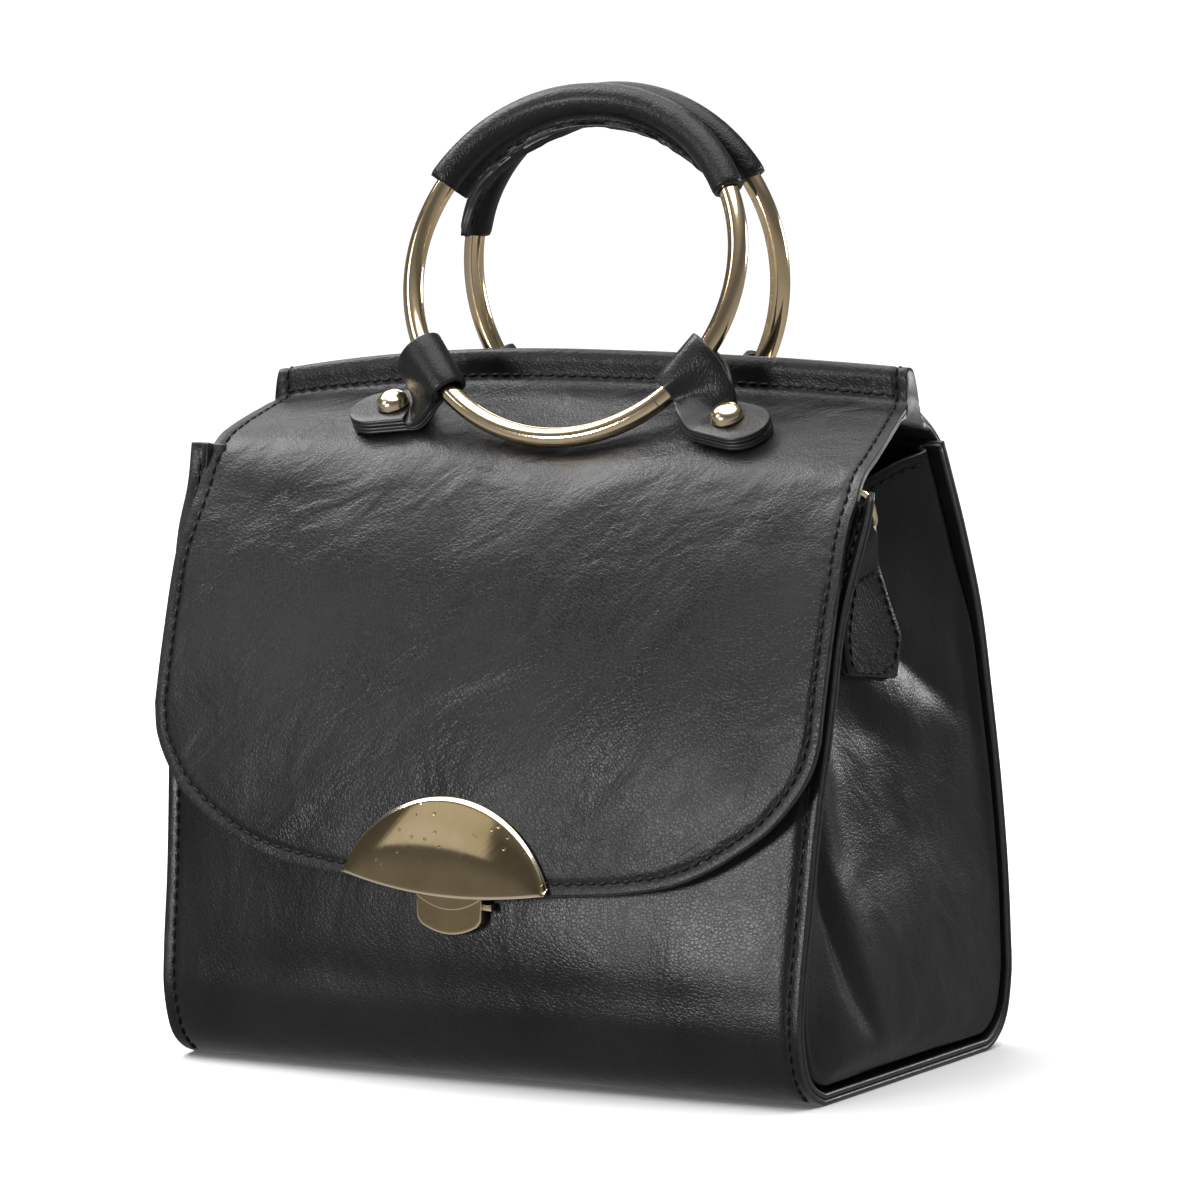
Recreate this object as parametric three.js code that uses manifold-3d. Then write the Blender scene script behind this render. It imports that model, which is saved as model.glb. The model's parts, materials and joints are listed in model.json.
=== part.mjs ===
// Small structured handbag: leather body and flap, two upright metal ring handles,
// half-moon clasp, D-ring tabs on the side panels.
// Millimetres. +Z up, -Y is the front face, +X is the viewer's right. z = 0 is the surface it stands on.
import * as THREE from 'three';
import { mergeVertices } from 'three/addons/utils/BufferGeometryUtils.js';
import Module from 'manifold-3d';

const wasm = await Module();
wasm.setup();

// ---------------------------------------------------------------- driving sizes
const WALL = 2.0;            // leather of the body and side panels
const FLAP = 2.6;            // leather of the flap, two skived layers
const GAP = 0.3;             // clearance between neighbouring pieces
const RIM = 4.6;             // edge of the body that stands up beside the flap
const SEAM = 6.4;            // width of the turned-out edge of a side panel
const RING_R = 58.5;          // ring handle, radius of the wire's centre line
const WIRE = 3.4;            // ring handle, radius of the wire
const SLEEVE = 5.3;          // handle wrap, outer radius
const FIN = 4.2;             // handle wrap, width of the sewn fin
const FIN_T = 2.9;           // handle wrap, thickness of the fin
const STRAP_W = 20;          // tab strap width
const STACK = 5.0;           // thickness of the riveted stack of strap layers
const STRAP_END = 15.5;      // rivet to the rounded end of the strap
const LOOP_IN = 4.7;         // tab loop, inner radius
const LOOP_OUT = 6.6;        // tab loop, outer radius
const RIVET = 5.6;           // rivet dome radius
const DWIRE = 1.4;           // D-ring, radius of the wire
const D_HALF = 10.2;         // D-ring, half width to the wire's centre line
const D_HIGH = 15.5;         // D-ring, height to the wire's centre line
const D_LEAN = 0.11;         // D-ring, lean away from the side panel as it rests
const DTAB_T = 3.2;          // D-ring tab, thickness of its two layers

// side profile of the wrapped panel: y and z of its outer face at the seam, w the half width there
const PROFILE = [
  { at: 'front top', y: -38.6, z: 204, w: 128.7 },
  { at: 'front', y: -41.4, z: 190, w: 128.7 },
  { at: 'front', y: -48.2, z: 176, w: 128.2 },
  { at: 'front', y: -53.4, z: 163, w: 126.9 },
  { at: 'front', y: -57.0, z: 150, w: 125.8 },
  { at: 'front', y: -59.8, z: 133, w: 125.0 },
  { at: 'front', y: -62.4, z: 118, w: 124.2 },
  { at: 'front', y: -66.2, z: 94, w: 122.4 },
  { at: 'front', y: -70.4, z: 63, w: 121.0 },
  { at: 'front', y: -74.4, z: 38, w: 120.2 },
  { at: 'front heel', y: -75.2, z: 23, w: 120.0 },
  { at: 'front heel', y: -70.4, z: 8, w: 120.0 },
  { at: 'front heel', y: -61.0, z: 1.2, w: 120.0 },
  { at: 'bottom', y: -51.0, z: 0, w: 120.0 },
  { at: 'bottom', y: -26.0, z: 0, w: 120.0 },
  { at: 'bottom', y: 0.0, z: 0, w: 120.0 },
  { at: 'bottom', y: 26.0, z: 0, w: 120.0 },
  { at: 'bottom', y: 51.0, z: 0, w: 120.0 },
  { at: 'back heel', y: 61.0, z: 1.2, w: 120.0 },
  { at: 'back heel', y: 70.4, z: 8, w: 120.0 },
  { at: 'back heel', y: 75.2, z: 23, w: 120.0 },
  { at: 'back', y: 74.6, z: 38, w: 120.2 },
  { at: 'back', y: 71.0, z: 63, w: 121.0 },
  { at: 'back', y: 64.2, z: 94, w: 122.0 },
  { at: 'back', y: 56.4, z: 120, w: 123.2 },
  { at: 'back', y: 46.4, z: 150, w: 124.6 },
  { at: 'back', y: 35.0, z: 176, w: 125.0 },
  { at: 'back', y: 28.2, z: 190, w: 125.0 },
  { at: 'back top', y: 20.6, z: 207, w: 124.4 },
];
// how far the middle of the front and of the back stands out beyond the seams, by height
const SWELL = [
  { z: 0, front: 0, back: 0 }, { z: 25, front: 4, back: 2.5 }, { z: 60, front: 8, back: 5 },
  { z: 100, front: 7.5, back: 5 }, { z: 150, front: 4, back: 3 }, { z: 185, front: 0.5, back: 0.4 },
  { z: 210, front: 0, back: 0 },
];
// depth of the inward fold of the side panels, by height
const FOLD = [
  { z: 0, depth: -1 }, { z: 25, depth: -3 }, { z: 50, depth: -1.5 }, { z: 75, depth: 3.5 },
  { z: 100, depth: 9 }, { z: 130, depth: 16.5 }, { z: 160, depth: 21 }, { z: 182, depth: 23 }, { z: 205, depth: 24 },
];
// flap from the back to the bend: y and z of its outer face at the left edge, middle and right edge, and half widths
const FLAP_TOP = [
  { at: 'rear slope', yL: 21.6, zL: 210.8, wL: 122.4, yC: 20.8, zC: 213.4, yR: 21.2, zR: 211.6, wR: 119.8, dip: 0 },
  { at: 'ridge back foot', yL: 14.2, zL: 214.8, wL: 123.0, yC: 14.0, zC: 223.6, yR: 14.0, zR: 220.6, wR: 116.6, dip: 0 },
  { at: 'ridge back', yL: 13.6, zL: 221.6, wL: 123.2, yC: 13.6, zC: 231.8, yR: 13.6, zR: 228.8, wR: 117.4, dip: 0 },
  { at: 'ridge top', yL: 12.0, zL: 224.0, wL: 123.2, yC: 12.0, zC: 234.0, yR: 12.0, zR: 231.0, wR: 117.4, dip: 0 },
  { at: 'ridge top', yL: 8.4, zL: 224.4, wL: 123.2, yC: 8.4, zC: 234.2, yR: 8.4, zR: 231.3, wR: 117.4, dip: 0 },
  { at: 'ridge front', yL: 6.7, zL: 221.8, wL: 123.2, yC: 6.7, zC: 231.6, yR: 6.7, zR: 228.8, wR: 117.4, dip: 0 },
  { at: 'ridge front foot', yL: 6.4, zL: 215.4, wL: 123.0, yC: 6.4, zC: 224.2, yR: 6.4, zR: 220.8, wR: 118.0, dip: 0 },
  { at: 'slope', yL: -1.5, zL: 213.2, wL: 122.8, yC: -2.0, zC: 219.0, yR: -2.0, zR: 216.4, wR: 119.6, dip: 0 },
  { at: 'slope', yL: -12.0, zL: 210.8, wL: 122.8, yC: -12.0, zC: 214.2, yR: -12.0, zR: 211.6, wR: 121.0, dip: 3.2 },
  { at: 'slope', yL: -22.0, zL: 208.2, wL: 122.8, yC: -22.5, zC: 208.2, yR: -22.5, zR: 205.8, wR: 121.8, dip: 4.6 },
  { at: 'bend', yL: -30.0, zL: 205.4, wL: 122.8, yC: -31.0, zC: 202.0, yR: -30.5, zR: 201.6, wR: 122.2, dip: 2.6 },
  { at: 'bend', yL: -35.0, zL: 201.6, wL: 122.9, yC: -36.6, zC: 196.0, yR: -35.4, zR: 198.0, wR: 122.8, dip: 0.8 },
  { at: 'bend', yL: -39.2, zL: 196.0, wL: 123.2, yC: -41.4, zC: 190.0, yR: -39.4, zR: 193.2, wR: 123.4, dip: 0 },
];
const DIP = { x: 7, half: 27 };   // the front handle's dip in the flap, and its half width
// front fall of the flap: y of its outer face at the side edges and in the middle, by height
const FALL = [
  { z: 196, edge: -38.8, mid: -35.0 }, { z: 186, edge: -45.0, mid: -44.2 }, { z: 170, edge: -54.2, mid: -54.6 },
  { z: 145, edge: -62.6, mid: -66.0 }, { z: 120, edge: -69.2, mid: -74.6 }, { z: 100, edge: -73.2, mid: -79.4 },
  { z: 80, edge: -76.4, mid: -82.4 }, { z: 60, edge: -78.6, mid: -84.6 },
];
// lower outline of the flap, half of it
const HEM = [
  { x: 125.2, z: 119 }, { x: 123.2, z: 109.6 }, { x: 118.4, z: 100.6 }, { x: 110.8, z: 91.4 }, { x: 101, z: 84.0 },
  { x: 89, z: 77.0 }, { x: 76, z: 72.0 }, { x: 60, z: 69.0 }, { x: 42, z: 67.2 }, { x: 21, z: 66.0 }, { x: 0, z: 65.4 },
];
const HEM_LEAN = 0.9;        // the hem hangs this much lower on the right of the middle, and higher on the left
// ring handles: centre of the ring, tilt of its top to the back, turn about the vertical,
// side the wrap's fin faces, ends of the wrap and places of the two loops round the ring
const HANDLES = {
  front: { centre: [0.1, -3.4, 262.5], tilt: 20.8, yaw: 5.1, fin: 1, from: 28, to: 151.5, right: -36, left: 218 },
  rear: { centre: [-1.2, 32.8, 258.8], tilt: -3.3, yaw: 0.8, fin: -1, from: 33, to: 168, right: -40, left: 220 },
};
// how far the wraps' fins fold in towards the ring's centre, by angle round the ring
const FIN_FOLD = [
  { deg: 25, front: 0, rear: -5 }, { deg: 45, front: 40, rear: 38 }, { deg: 60, front: 56, rear: 56 }, { deg: 75, front: 66, rear: 66 },
  { deg: 90, front: 70, rear: 70 }, { deg: 105, front: 68, rear: 68 }, { deg: 120, front: 60, rear: 56 }, { deg: 135, front: 50, rear: 36 },
  { deg: 157, front: 38, rear: 6 }, { deg: 166, front: 36, rear: 4 },
];
// riveted ends of the straps: the rivet's place on the flap and the strap's direction there
const TAB_ENDS = [
  { name: 'front_left', handle: 'front', side: 'left', x: -61.0, y: -16.6, along: [-0.97, -0.22, 0] },
  { name: 'front_right', handle: 'front', side: 'right', x: 66.0, y: -16.6, along: [0.95, -0.28, 0] },
  { name: 'rear_left', handle: 'rear', side: 'left', x: -66.0, y: 20.4, along: [-0.97, 0.1, -0.2] },
  { name: 'rear_right', handle: 'rear', side: 'right', x: 65.0, y: 20.4, along: [0.97, 0.1, -0.2] },
];
// pointed D-ring tab in its own plane: distance along it from the bar, half width and sideways shift
const DTAB = [
  { along: 4.5, half: 6.8, shift: 0 }, { along: 12, half: 7.2, shift: -0.9 }, { along: 20, half: 10.2, shift: -4.0 }, { along: 29, half: 13.2, shift: -7.0 },
  { along: 37.5, half: 14.6, shift: -8.0 }, { along: 44, half: 7.6, shift: -4.6 }, { along: 49.5, half: 0.6, shift: -1.2 },
];
const DTAB_AT = { y: -13.0, z: 178.0, turn: 20 };       // bar of the D-ring on the side panel, and the tab's turn
const CLASP = { x: -4.2, z: 68.0, half: 38.8, high: 27.4, sag: 4.0, turn: -2.6, lower: 5.2, upper: 1.3 };   // half-moon plate
const LOCK = { x: -3.2, half: 12.3, top: 64.2, low: 50.8, shoulder: 54.8, deep: 4.2 };

// ---------------------------------------------------------------- small helpers
const V = (x, y, z) => new THREE.Vector3(x, y, z);
const mix = (a, b, t) => a + (b - a) * t;
const clamp = (v, a, b) => Math.min(b, Math.max(a, v));
const ease = (a, b, v) => { const t = clamp((v - a) / (b - a), 0, 1); return t * t * (3 - 2 * t); };
const steps = (n) => Array.from({ length: n + 1 }, (_, i) => i / n);

// value of a named column of a table at a key, by a monotone cubic through its rows
function column(table, key, name) {
  const rows = [...table].sort((p, q) => p[key] - q[key]);
  const x = rows.map((r) => r[key]), y = rows.map((r) => r[name]), n = x.length;
  const d = x.slice(1).map((_, i) => (y[i + 1] - y[i]) / (x[i + 1] - x[i]));
  const m = x.map((_, i) => (i === 0 ? d[0] : i === n - 1 ? d[n - 2] : d[i - 1] * d[i] <= 0 ? 0 : 2 * d[i - 1] * d[i] / (d[i - 1] + d[i])));
  return (v) => {
    const c = clamp(v, x[0], x[n - 1]);
    let i = 0; while (i < n - 2 && c > x[i + 1]) i++;
    const h = x[i + 1] - x[i], t = (c - x[i]) / h;
    return y[i] * (1 + 2 * t) * (1 - t) ** 2 + h * m[i] * t * (1 - t) ** 2 + y[i + 1] * t * t * (3 - 2 * t) + h * m[i + 1] * t * t * (t - 1);
  };
}

// a sheet: rows of points on one face of the leather; fold(i, j) may send a point to another one it coincides with,
// and other = true splits the four-sided cells along their other diagonal
function sheet(rows, fold = (i, j) => [i, j], other = false) {
  const nj = rows[0].length, id = new Map(), verts = [], tris = [];
  const at = (i, j) => {
    const [a, b] = fold(i, j), k = a * nj + b;
    if (!id.has(k)) { id.set(k, verts.length); verts.push(rows[a][b].clone()); }
    return id.get(k);
  };
  for (let i = 0; i + 1 < rows.length; i++) for (let j = 0; j + 1 < nj; j++) {
    const q = [at(i, j), at(i + 1, j), at(i + 1, j + 1), at(i, j + 1)];
    for (const t of (other ? [[q[0], q[1], q[3]], [q[1], q[2], q[3]]] : [[q[0], q[1], q[2]], [q[0], q[2], q[3]]])) if (new Set(t).size === 3) tris.push(t);
  }
  return { verts, tris, at };
}

function normals(verts, tris) {
  const n = verts.map(() => V(0, 0, 0));
  for (const [a, b, c] of tris) {
    const f = verts[b].clone().sub(verts[a]).cross(verts[c].clone().sub(verts[a]));
    for (const k of [a, b, c]) n[k].add(f);
  }
  return n.map((v) => v.normalize());
}

// closes a sheet with a second face behind it and a rim round its free edge
function wall(s, back) {
  const n = s.verts.length, all = [...s.verts, ...back], tris = [...s.tris];
  for (const [a, b, c] of s.tris) tris.push([a + n, c + n, b + n]);
  const seen = new Map();
  for (const t of s.tris) for (let k = 0; k < 3; k++) seen.set(`${t[k]},${t[(k + 1) % 3]}`, [t[k], t[(k + 1) % 3]]);
  for (const [key, [a, b]] of seen) if (!seen.has(`${b},${a}`)) tris.push([b, a, a + n], [b, a + n, b + n]);
  return solid(all, tris);
}
const thicken = (s, t, set = []) => {
  const n = normals(s.verts, s.tris);
  return wall(s, s.verts.map((v, i) => v.clone().addScaledVector(set[i] ?? n[i], -t)));
};

// geometry from points and triangles, turned so that its faces point out
function solid(verts, tris) {
  let vol = 0;
  for (const [a, b, c] of tris) vol += verts[a].dot(verts[b].clone().cross(verts[c]));
  const g = new THREE.BufferGeometry();
  g.setAttribute('position', new THREE.Float32BufferAttribute(verts.flatMap((v) => [v.x, v.y, v.z]), 3));
  g.setIndex(tris.flatMap(([a, b, c]) => (vol > 0 ? [a, b, c] : [a, c, b])));
  return g;
}

// closed sections of equal length, joined along a run and capped; ring = true joins the last to the first
function loft(sections, { ring = false, hole = null } = {}) {
  const m = sections[0].length, n = sections.length, verts = sections.flat(), tris = [];
  const face = (o, flip) => {
    for (let i = 0; i + 1 < n + (ring ? 1 : 0); i++) for (let j = 0; j < m; j++) {
      const a = o + i * m + j, b = o + i * m + (j + 1) % m, c = o + ((i + 1) % n) * m + j, d = o + ((i + 1) % n) * m + (j + 1) % m;
      tris.push(...(flip ? [[a, c, b], [b, c, d]] : [[a, b, c], [b, d, c]]));
    }
  };
  face(0, false);
  if (hole) {
    verts.push(...hole.flat());
    face(n * m, true);
    for (const [i, flip] of [[0, false], [n - 1, true]]) for (let j = 0; j < m; j++) {
      const a = i * m + j, b = i * m + (j + 1) % m, c = n * m + a, d = n * m + b;
      tris.push(...(flip ? [[a, b, c], [b, d, c]] : [[a, c, b], [b, c, d]]));
    }
  } else if (!ring) {
    for (const [i, flip] of [[0, true], [n - 1, false]]) {
      const flat = sections[i], mid = flat.reduce((s, v) => s.add(v), V(0, 0, 0)).multiplyScalar(1 / m);
      verts.push(mid);
      const k = verts.length - 1;
      for (let j = 0; j < m; j++) {
        const a = i * m + j, b = i * m + (j + 1) % m;
        tris.push(flip ? [k, b, a] : [k, a, b]);
      }
    }
  }
  return solid(verts, tris);
}

// joining and cutting
function toSolid(geometry) {
  const g = geometry.clone();
  g.deleteAttribute('normal'); g.deleteAttribute('uv');
  const m = g.index ? mergeVertices(g, 1e-5) : mergeVertices(g, 1e-5);
  return new wasm.Manifold(new wasm.Mesh({ numProp: 3, vertProperties: Float32Array.from(m.attributes.position.array), triVerts: Uint32Array.from(m.index.array) }));
}
function fromSolid(manifold) {
  const m = manifold.getMesh(), g = new THREE.BufferGeometry();
  g.setAttribute('position', new THREE.Float32BufferAttribute(m.vertProperties, 3));
  g.setIndex(Array.from(m.triVerts));
  return g;
}

// ---------------------------------------------------------------- wrapped body panel
const route = new THREE.CatmullRomCurve3(PROFILE.map((r) => V(r.w, r.y, r.z)), false, 'centripetal');
route.arcLengthDivisions = 800;
const routeLength = route.getLength();
const swell = { front: column(SWELL, 'z', 'front'), back: column(SWELL, 'z', 'back') };

// outer face of the panel: s from the front top (0) round the bottom to the back top (1), xh from -1 to 1
function panel(s, xh, out = 0) {
  let p = route.getPointAt(s);
  const front = s < 0.5, inset = (1 - Math.abs(xh)) * p.x, edge = clamp(1 - inset / RIM, 0, 1);
  // the front's free edge is lower under the flap than at its corners
  if (front) {
    const drop = mix(mix(xh < 0 ? 10.5 : 13.5, 17, ease(RIM, 30, inset)), xh < 0 ? 1 : 8.5, edge) * ease(140, 204, p.z);
    s = Math.min(s + drop / routeLength, 0.5);
    p = route.getPointAt(s);
  }
  const t = route.getTangentAt(s), len = Math.hypot(t.z, t.y), n = V(0, t.z / len, -t.y / len);
  const lift = out + swell[front ? 'front' : 'back'](p.z) * (1 - Math.abs(xh) ** 2.2);
  const q = V(xh * p.x, p.y, Math.max(0, p.z)).addScaledVector(n, lift);
  if (front) q.y += mix(4.3, 5.2, ease(RIM, 30, inset)) * (1 - edge) * ease(138, 182, p.z);
  if (p.z < 0.6 && out <= 0) q.z = Math.max(0, -out);
  return { q, n };
}
// the seam point under the middle of the bottom, and the stations round the panel
let sMid = 0.5;
for (let k = 0; k < 40; k++) { const p = route.getPointAt(sMid); sMid += clamp(-p.y / 1200, -0.01, 0.01); }
const N = 17, SS = [...steps(N).map((t) => t * sMid), ...steps(N).slice(1).map((t) => mix(sMid, 1, t))];
const INSETS = [0, RIM, 9, 28, 70];
const bodyRows = SS.map((s) => {
  const w = route.getPointAt(s).x, half = INSETS.map((i) => (w - i) / w);
  return [...half.map((x) => -x), 0, ...half.reverse()].map((x) => panel(s, x));
});
const bodySheet = sheet(bodyRows.map((r) => r.map((c) => c.q)));
const body = thicken(bodySheet, WALL, bodyRows.flat().map((c) => c.n));

// ---------------------------------------------------------------- side panels
const foldDepth = column(FOLD, 'z', 'depth');
const frontY = column(PROFILE.filter((r) => r.y < 0 && r.z >= 8), 'z', 'y');
const backY = column(PROFILE.filter((r) => r.y > 0 && r.z >= 8), 'z', 'y');
const halfW = column(PROFILE.filter((r) => r.y > 0 && r.z >= 8), 'z', 'w');

// outward place of the side panel at y, z, with edge = distance in from the seam
function sideX(y, z, edge) {
  const u = clamp((y - frontY(z)) / (backY(z) - frontY(z)), 0, 1);
  const shape = u < 0.22 ? ease(0, 0.22, u) : 1 - ((u - 0.22) / 0.78) ** 1.3;
  const roll = ease(4, mix(10.5, 15, ease(135, 172, z)), edge);
  return halfW(z) - SEAM - 0.4 + 6.0 * roll - foldDepth(z) * shape * ease(5, 15, edge);
}
const DEPTHS = [0, 0.07, 0.16, 0.3, 0.48, 0.7, 0.86, 1];
// finished face of a side panel, on the right side; left is the same, mirrored, with its own top corner
function sideFace(s, i, right) {
  const sg = right ? 1 : -1, w = route.getPointAt(s).x;
  const under = (inset, depth) => {
    const { q, n } = panel(s, sg * (w - inset) / w);
    return V(sg * (w - inset), q.y, q.z).addScaledVector(n, -(2 * WALL + GAP + depth));
  };
  const along = (j) => {
    const { q, n } = bodyRows[i][right ? 2 * INSETS.length - j : j];
    return q.clone().addScaledVector(n, -(2 * WALL + GAP + 0.15));
  };
  const row = [along(0), along(1), under(SEAM - 0.3, 0.9)], a = under(SEAM + 0.5, 2.4);
  // along the centre line, higher for higher seam points
  const h = Math.abs(s - sMid) / (s < sMid ? sMid : 1 - sMid);
  const cz = mix(42, 193, h ** 1.15), cy = mix(0, -9, ease(60, 200, cz));
  for (const t of DEPTHS) {
    const y = mix(a.y, cy, t), z = mix(a.z, cz, t);
    const edge = 6.5 + t * Math.hypot(cy - a.y, cz - a.z);
    row.push(V(sg * sideX(y, z, edge), y, z));
  }
  return row;
}
function sidePanel(right) {
  const rows = SS.map((s, i) => sideFace(s, i, right)), last = rows[0].length - 1;
  for (let i = 0; i < N; i++) rows[2 * N - i][last] = rows[i][last];
  const s = sheet(rows, (i, j) => (j === last && i > N ? [2 * N - i, j] : [i, j]), right);
  if (!right) s.tris = s.tris.map(([a, b, c]) => [a, c, b]);
  const set = [];
  rows.forEach((_, i) => [0, 1].forEach((j) => { set[s.at(i, j)] = bodyRows[i][right ? 2 * INSETS.length - j : j].n.clone().negate(); }));
  return thicken(s, WALL, set);
}

// ---------------------------------------------------------------- flap
const fallEdge = column(FALL, 'z', 'edge'), fallMid = column(FALL, 'z', 'mid');
const hemCurve = new THREE.CatmullRomCurve3(HEM.map((r) => V(r.x, r.z, 0)), false, 'centripetal');
const hemPoint = (xh) => { const p = hemCurve.getPoint(1 - Math.abs(xh)); return { x: Math.sign(xh) * p.x, z: p.y - HEM_LEAN * Math.sign(xh) * Math.sin(Math.PI * p.x / HEM[0].x) }; };

const sBack = (z) => { let a = 0.7, b = 1; for (let k = 0; k < 40; k++) { const m = (a + b) / 2; if (route.getPointAt(m).z < z) a = m; else b = m; } return a; };
const dipAt = (r, x) => r.dip * Math.exp(-(((x - DIP.x) / DIP.half) ** 2));
// xh runs -1..1 along the hem, so that the stations crowd at its corners
function flapRow(xh) {
  const e = hemPoint(xh), f = e.x / HEM[0].x, side = f < 0 ? 'L' : 'R', pts = [];
  for (const z of [190, 198, 205.5]) pts.push(panel(sBack(z), f * 0.976, FLAP + GAP).q);
  for (const r of FLAP_TOP) {
    const k = Math.abs(f) ** 2.2;
    pts.push(V(f * r['w' + side], mix(r.yC, r['y' + side], k), mix(r.zC, r['z' + side], k) - dipAt(r, f * r['w' + side])));
  }
  const z0 = mix(184, side === 'L' ? 189 : 187, Math.abs(f) ** 2);
  for (const v of [0, 0.13, 0.28, 0.44, 0.6, 0.75, 0.88, 1]) {
    const z = mix(z0, e.z, v), w = mix(side === 'L' ? 123.3 : 123.5, 125.2, ease(187, 165, z));
    pts.push(V(f * w, mix(fallMid(z), fallEdge(z), Math.abs(f) ** 2.4), z));
  }
  return pts;
}
const FX = steps(20).map((t) => 2 * t - 1);
const flapRows = FX.map(flapRow);
const flapSheet = sheet(flapRows);
const flapN = normals(flapSheet.verts, flapSheet.tris);
const flapOut = Math.sign(flapN[flapSheet.at(10, 20)].y) * -1;
const back = flapSheet.verts.map((v, i) => v.clone().addScaledVector(flapN[i], -flapOut * FLAP));
// under the pinched ridge the inner face runs straight across
for (let i = 0; i < FX.length; i++) {
  const p = back[flapSheet.at(i, 3)].clone(), q = back[flapSheet.at(i, 10)].clone();
  for (let j = 4; j < 10; j++) back[flapSheet.at(i, j)].lerpVectors(p, q, (j - 3) / 7);
}
const flap = wall(flapSheet, back);

// outer face of the front fall at x, z
const fallY = (x, z) => mix(fallMid(z), fallEdge(z), Math.abs(x / 125.2) ** 2.4);
// the flap's top at x, y: a point of its outer face and the way it faces, behind or before the ridge
function flapTop(x, y, rear) {
  const at = (px, py) => {
    const side = px < 0 ? 'L' : 'R', rows = rear ? FLAP_TOP.slice(0, 2) : FLAP_TOP.slice(6);
    const k = Math.abs(px / rows[0]['w' + side]) ** 2.2;
    const line = rows.map((r) => ({ y: mix(r.yC, r['y' + side], k), z: mix(r.zC, r['z' + side], k) - dipAt(r, px) }));
    if (rear) { const q = panel(sBack(205.5), px / 124.4, FLAP + GAP).q; line.push({ y: q.y, z: q.z }); }
    return V(px, py, column(line, 'y', 'z')(py));
  };
  const n = at(x + 3, y).sub(at(x - 3, y)).cross(at(x, y + 3).sub(at(x, y - 3))).normalize();
  return { p: at(x, y), n };
}

// ---------------------------------------------------------------- ring handles
function frameOf(h) {
  const t = THREE.MathUtils.degToRad(h.tilt), y = THREE.MathUtils.degToRad(h.yaw), c = V(...h.centre), up = V(0, 0, 1);
  const ex = V(1, 0, 0).applyAxisAngle(up, y), eu = V(0, Math.sin(t), Math.cos(t)).applyAxisAngle(up, y);
  const at = (deg, r = RING_R) => {
    const a = THREE.MathUtils.degToRad(deg);
    const out = ex.clone().multiplyScalar(Math.cos(a)).addScaledVector(eu, Math.sin(a));
    return { p: c.clone().addScaledVector(out, r), out, along: ex.clone().multiplyScalar(-Math.sin(a)).addScaledVector(eu, Math.cos(a)) };
  };
  return { c, at, normal: ex.clone().cross(eu) };
}
function wrap(h) {
  const f = frameOf(h), outer = [], inner = [], half = Math.asin(FIN_T / 2 / SLEEVE);
  const fold = column(FIN_FOLD, 'deg', h.fin > 0 ? 'front' : 'rear');
  // a section: round the wire and out along the fin; 0 is the ring's front-facing side, a quarter turn is outward
  for (const t of steps(18)) {
    const deg = mix(h.from, h.to, t), { p, out } = f.at(deg), g = THREE.MathUtils.degToRad(fold(deg));
    const aim = h.fin > 0 ? Math.PI + g : -g;
    const cx = p.clone().addScaledVector(out, (h.fin > 0 ? 1.3 : 0.4) * Math.sin(THREE.MathUtils.degToRad(clamp(h.fin * (deg - 90), 0, 90)) * 1.2));
    const dir = (a, r, c = p) => c.clone().addScaledVector(f.normal, r * Math.cos(a)).addScaledVector(out, r * Math.sin(a));
    const tip = dir(aim, SLEEVE + FIN, cx);
    outer.push([...steps(9).map((k) => dir(aim + mix(half, 2 * Math.PI - half, k), SLEEVE, cx)), dir(aim - Math.PI / 2, FIN_T / 2, tip), dir(aim + Math.PI / 2, FIN_T / 2, tip)]);
    inner.push([...steps(9).map((k) => dir(aim + mix(half, 2 * Math.PI - half, k), WIRE + 0.42)), dir(aim - 0.14, WIRE + 0.42), dir(aim + 0.14, WIRE + 0.42)]);
  }
  return loft(outer, { hole: inner });
}
function ringMesh(h) {
  const g = new THREE.TorusGeometry(RING_R, WIRE, 10, 52), f = frameOf(h);
  g.applyQuaternion(new THREE.Quaternion().setFromUnitVectors(V(0, 0, 1), f.normal));
  g.translate(...h.centre);
  return fromSolid(toSolid(g));
}

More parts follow.
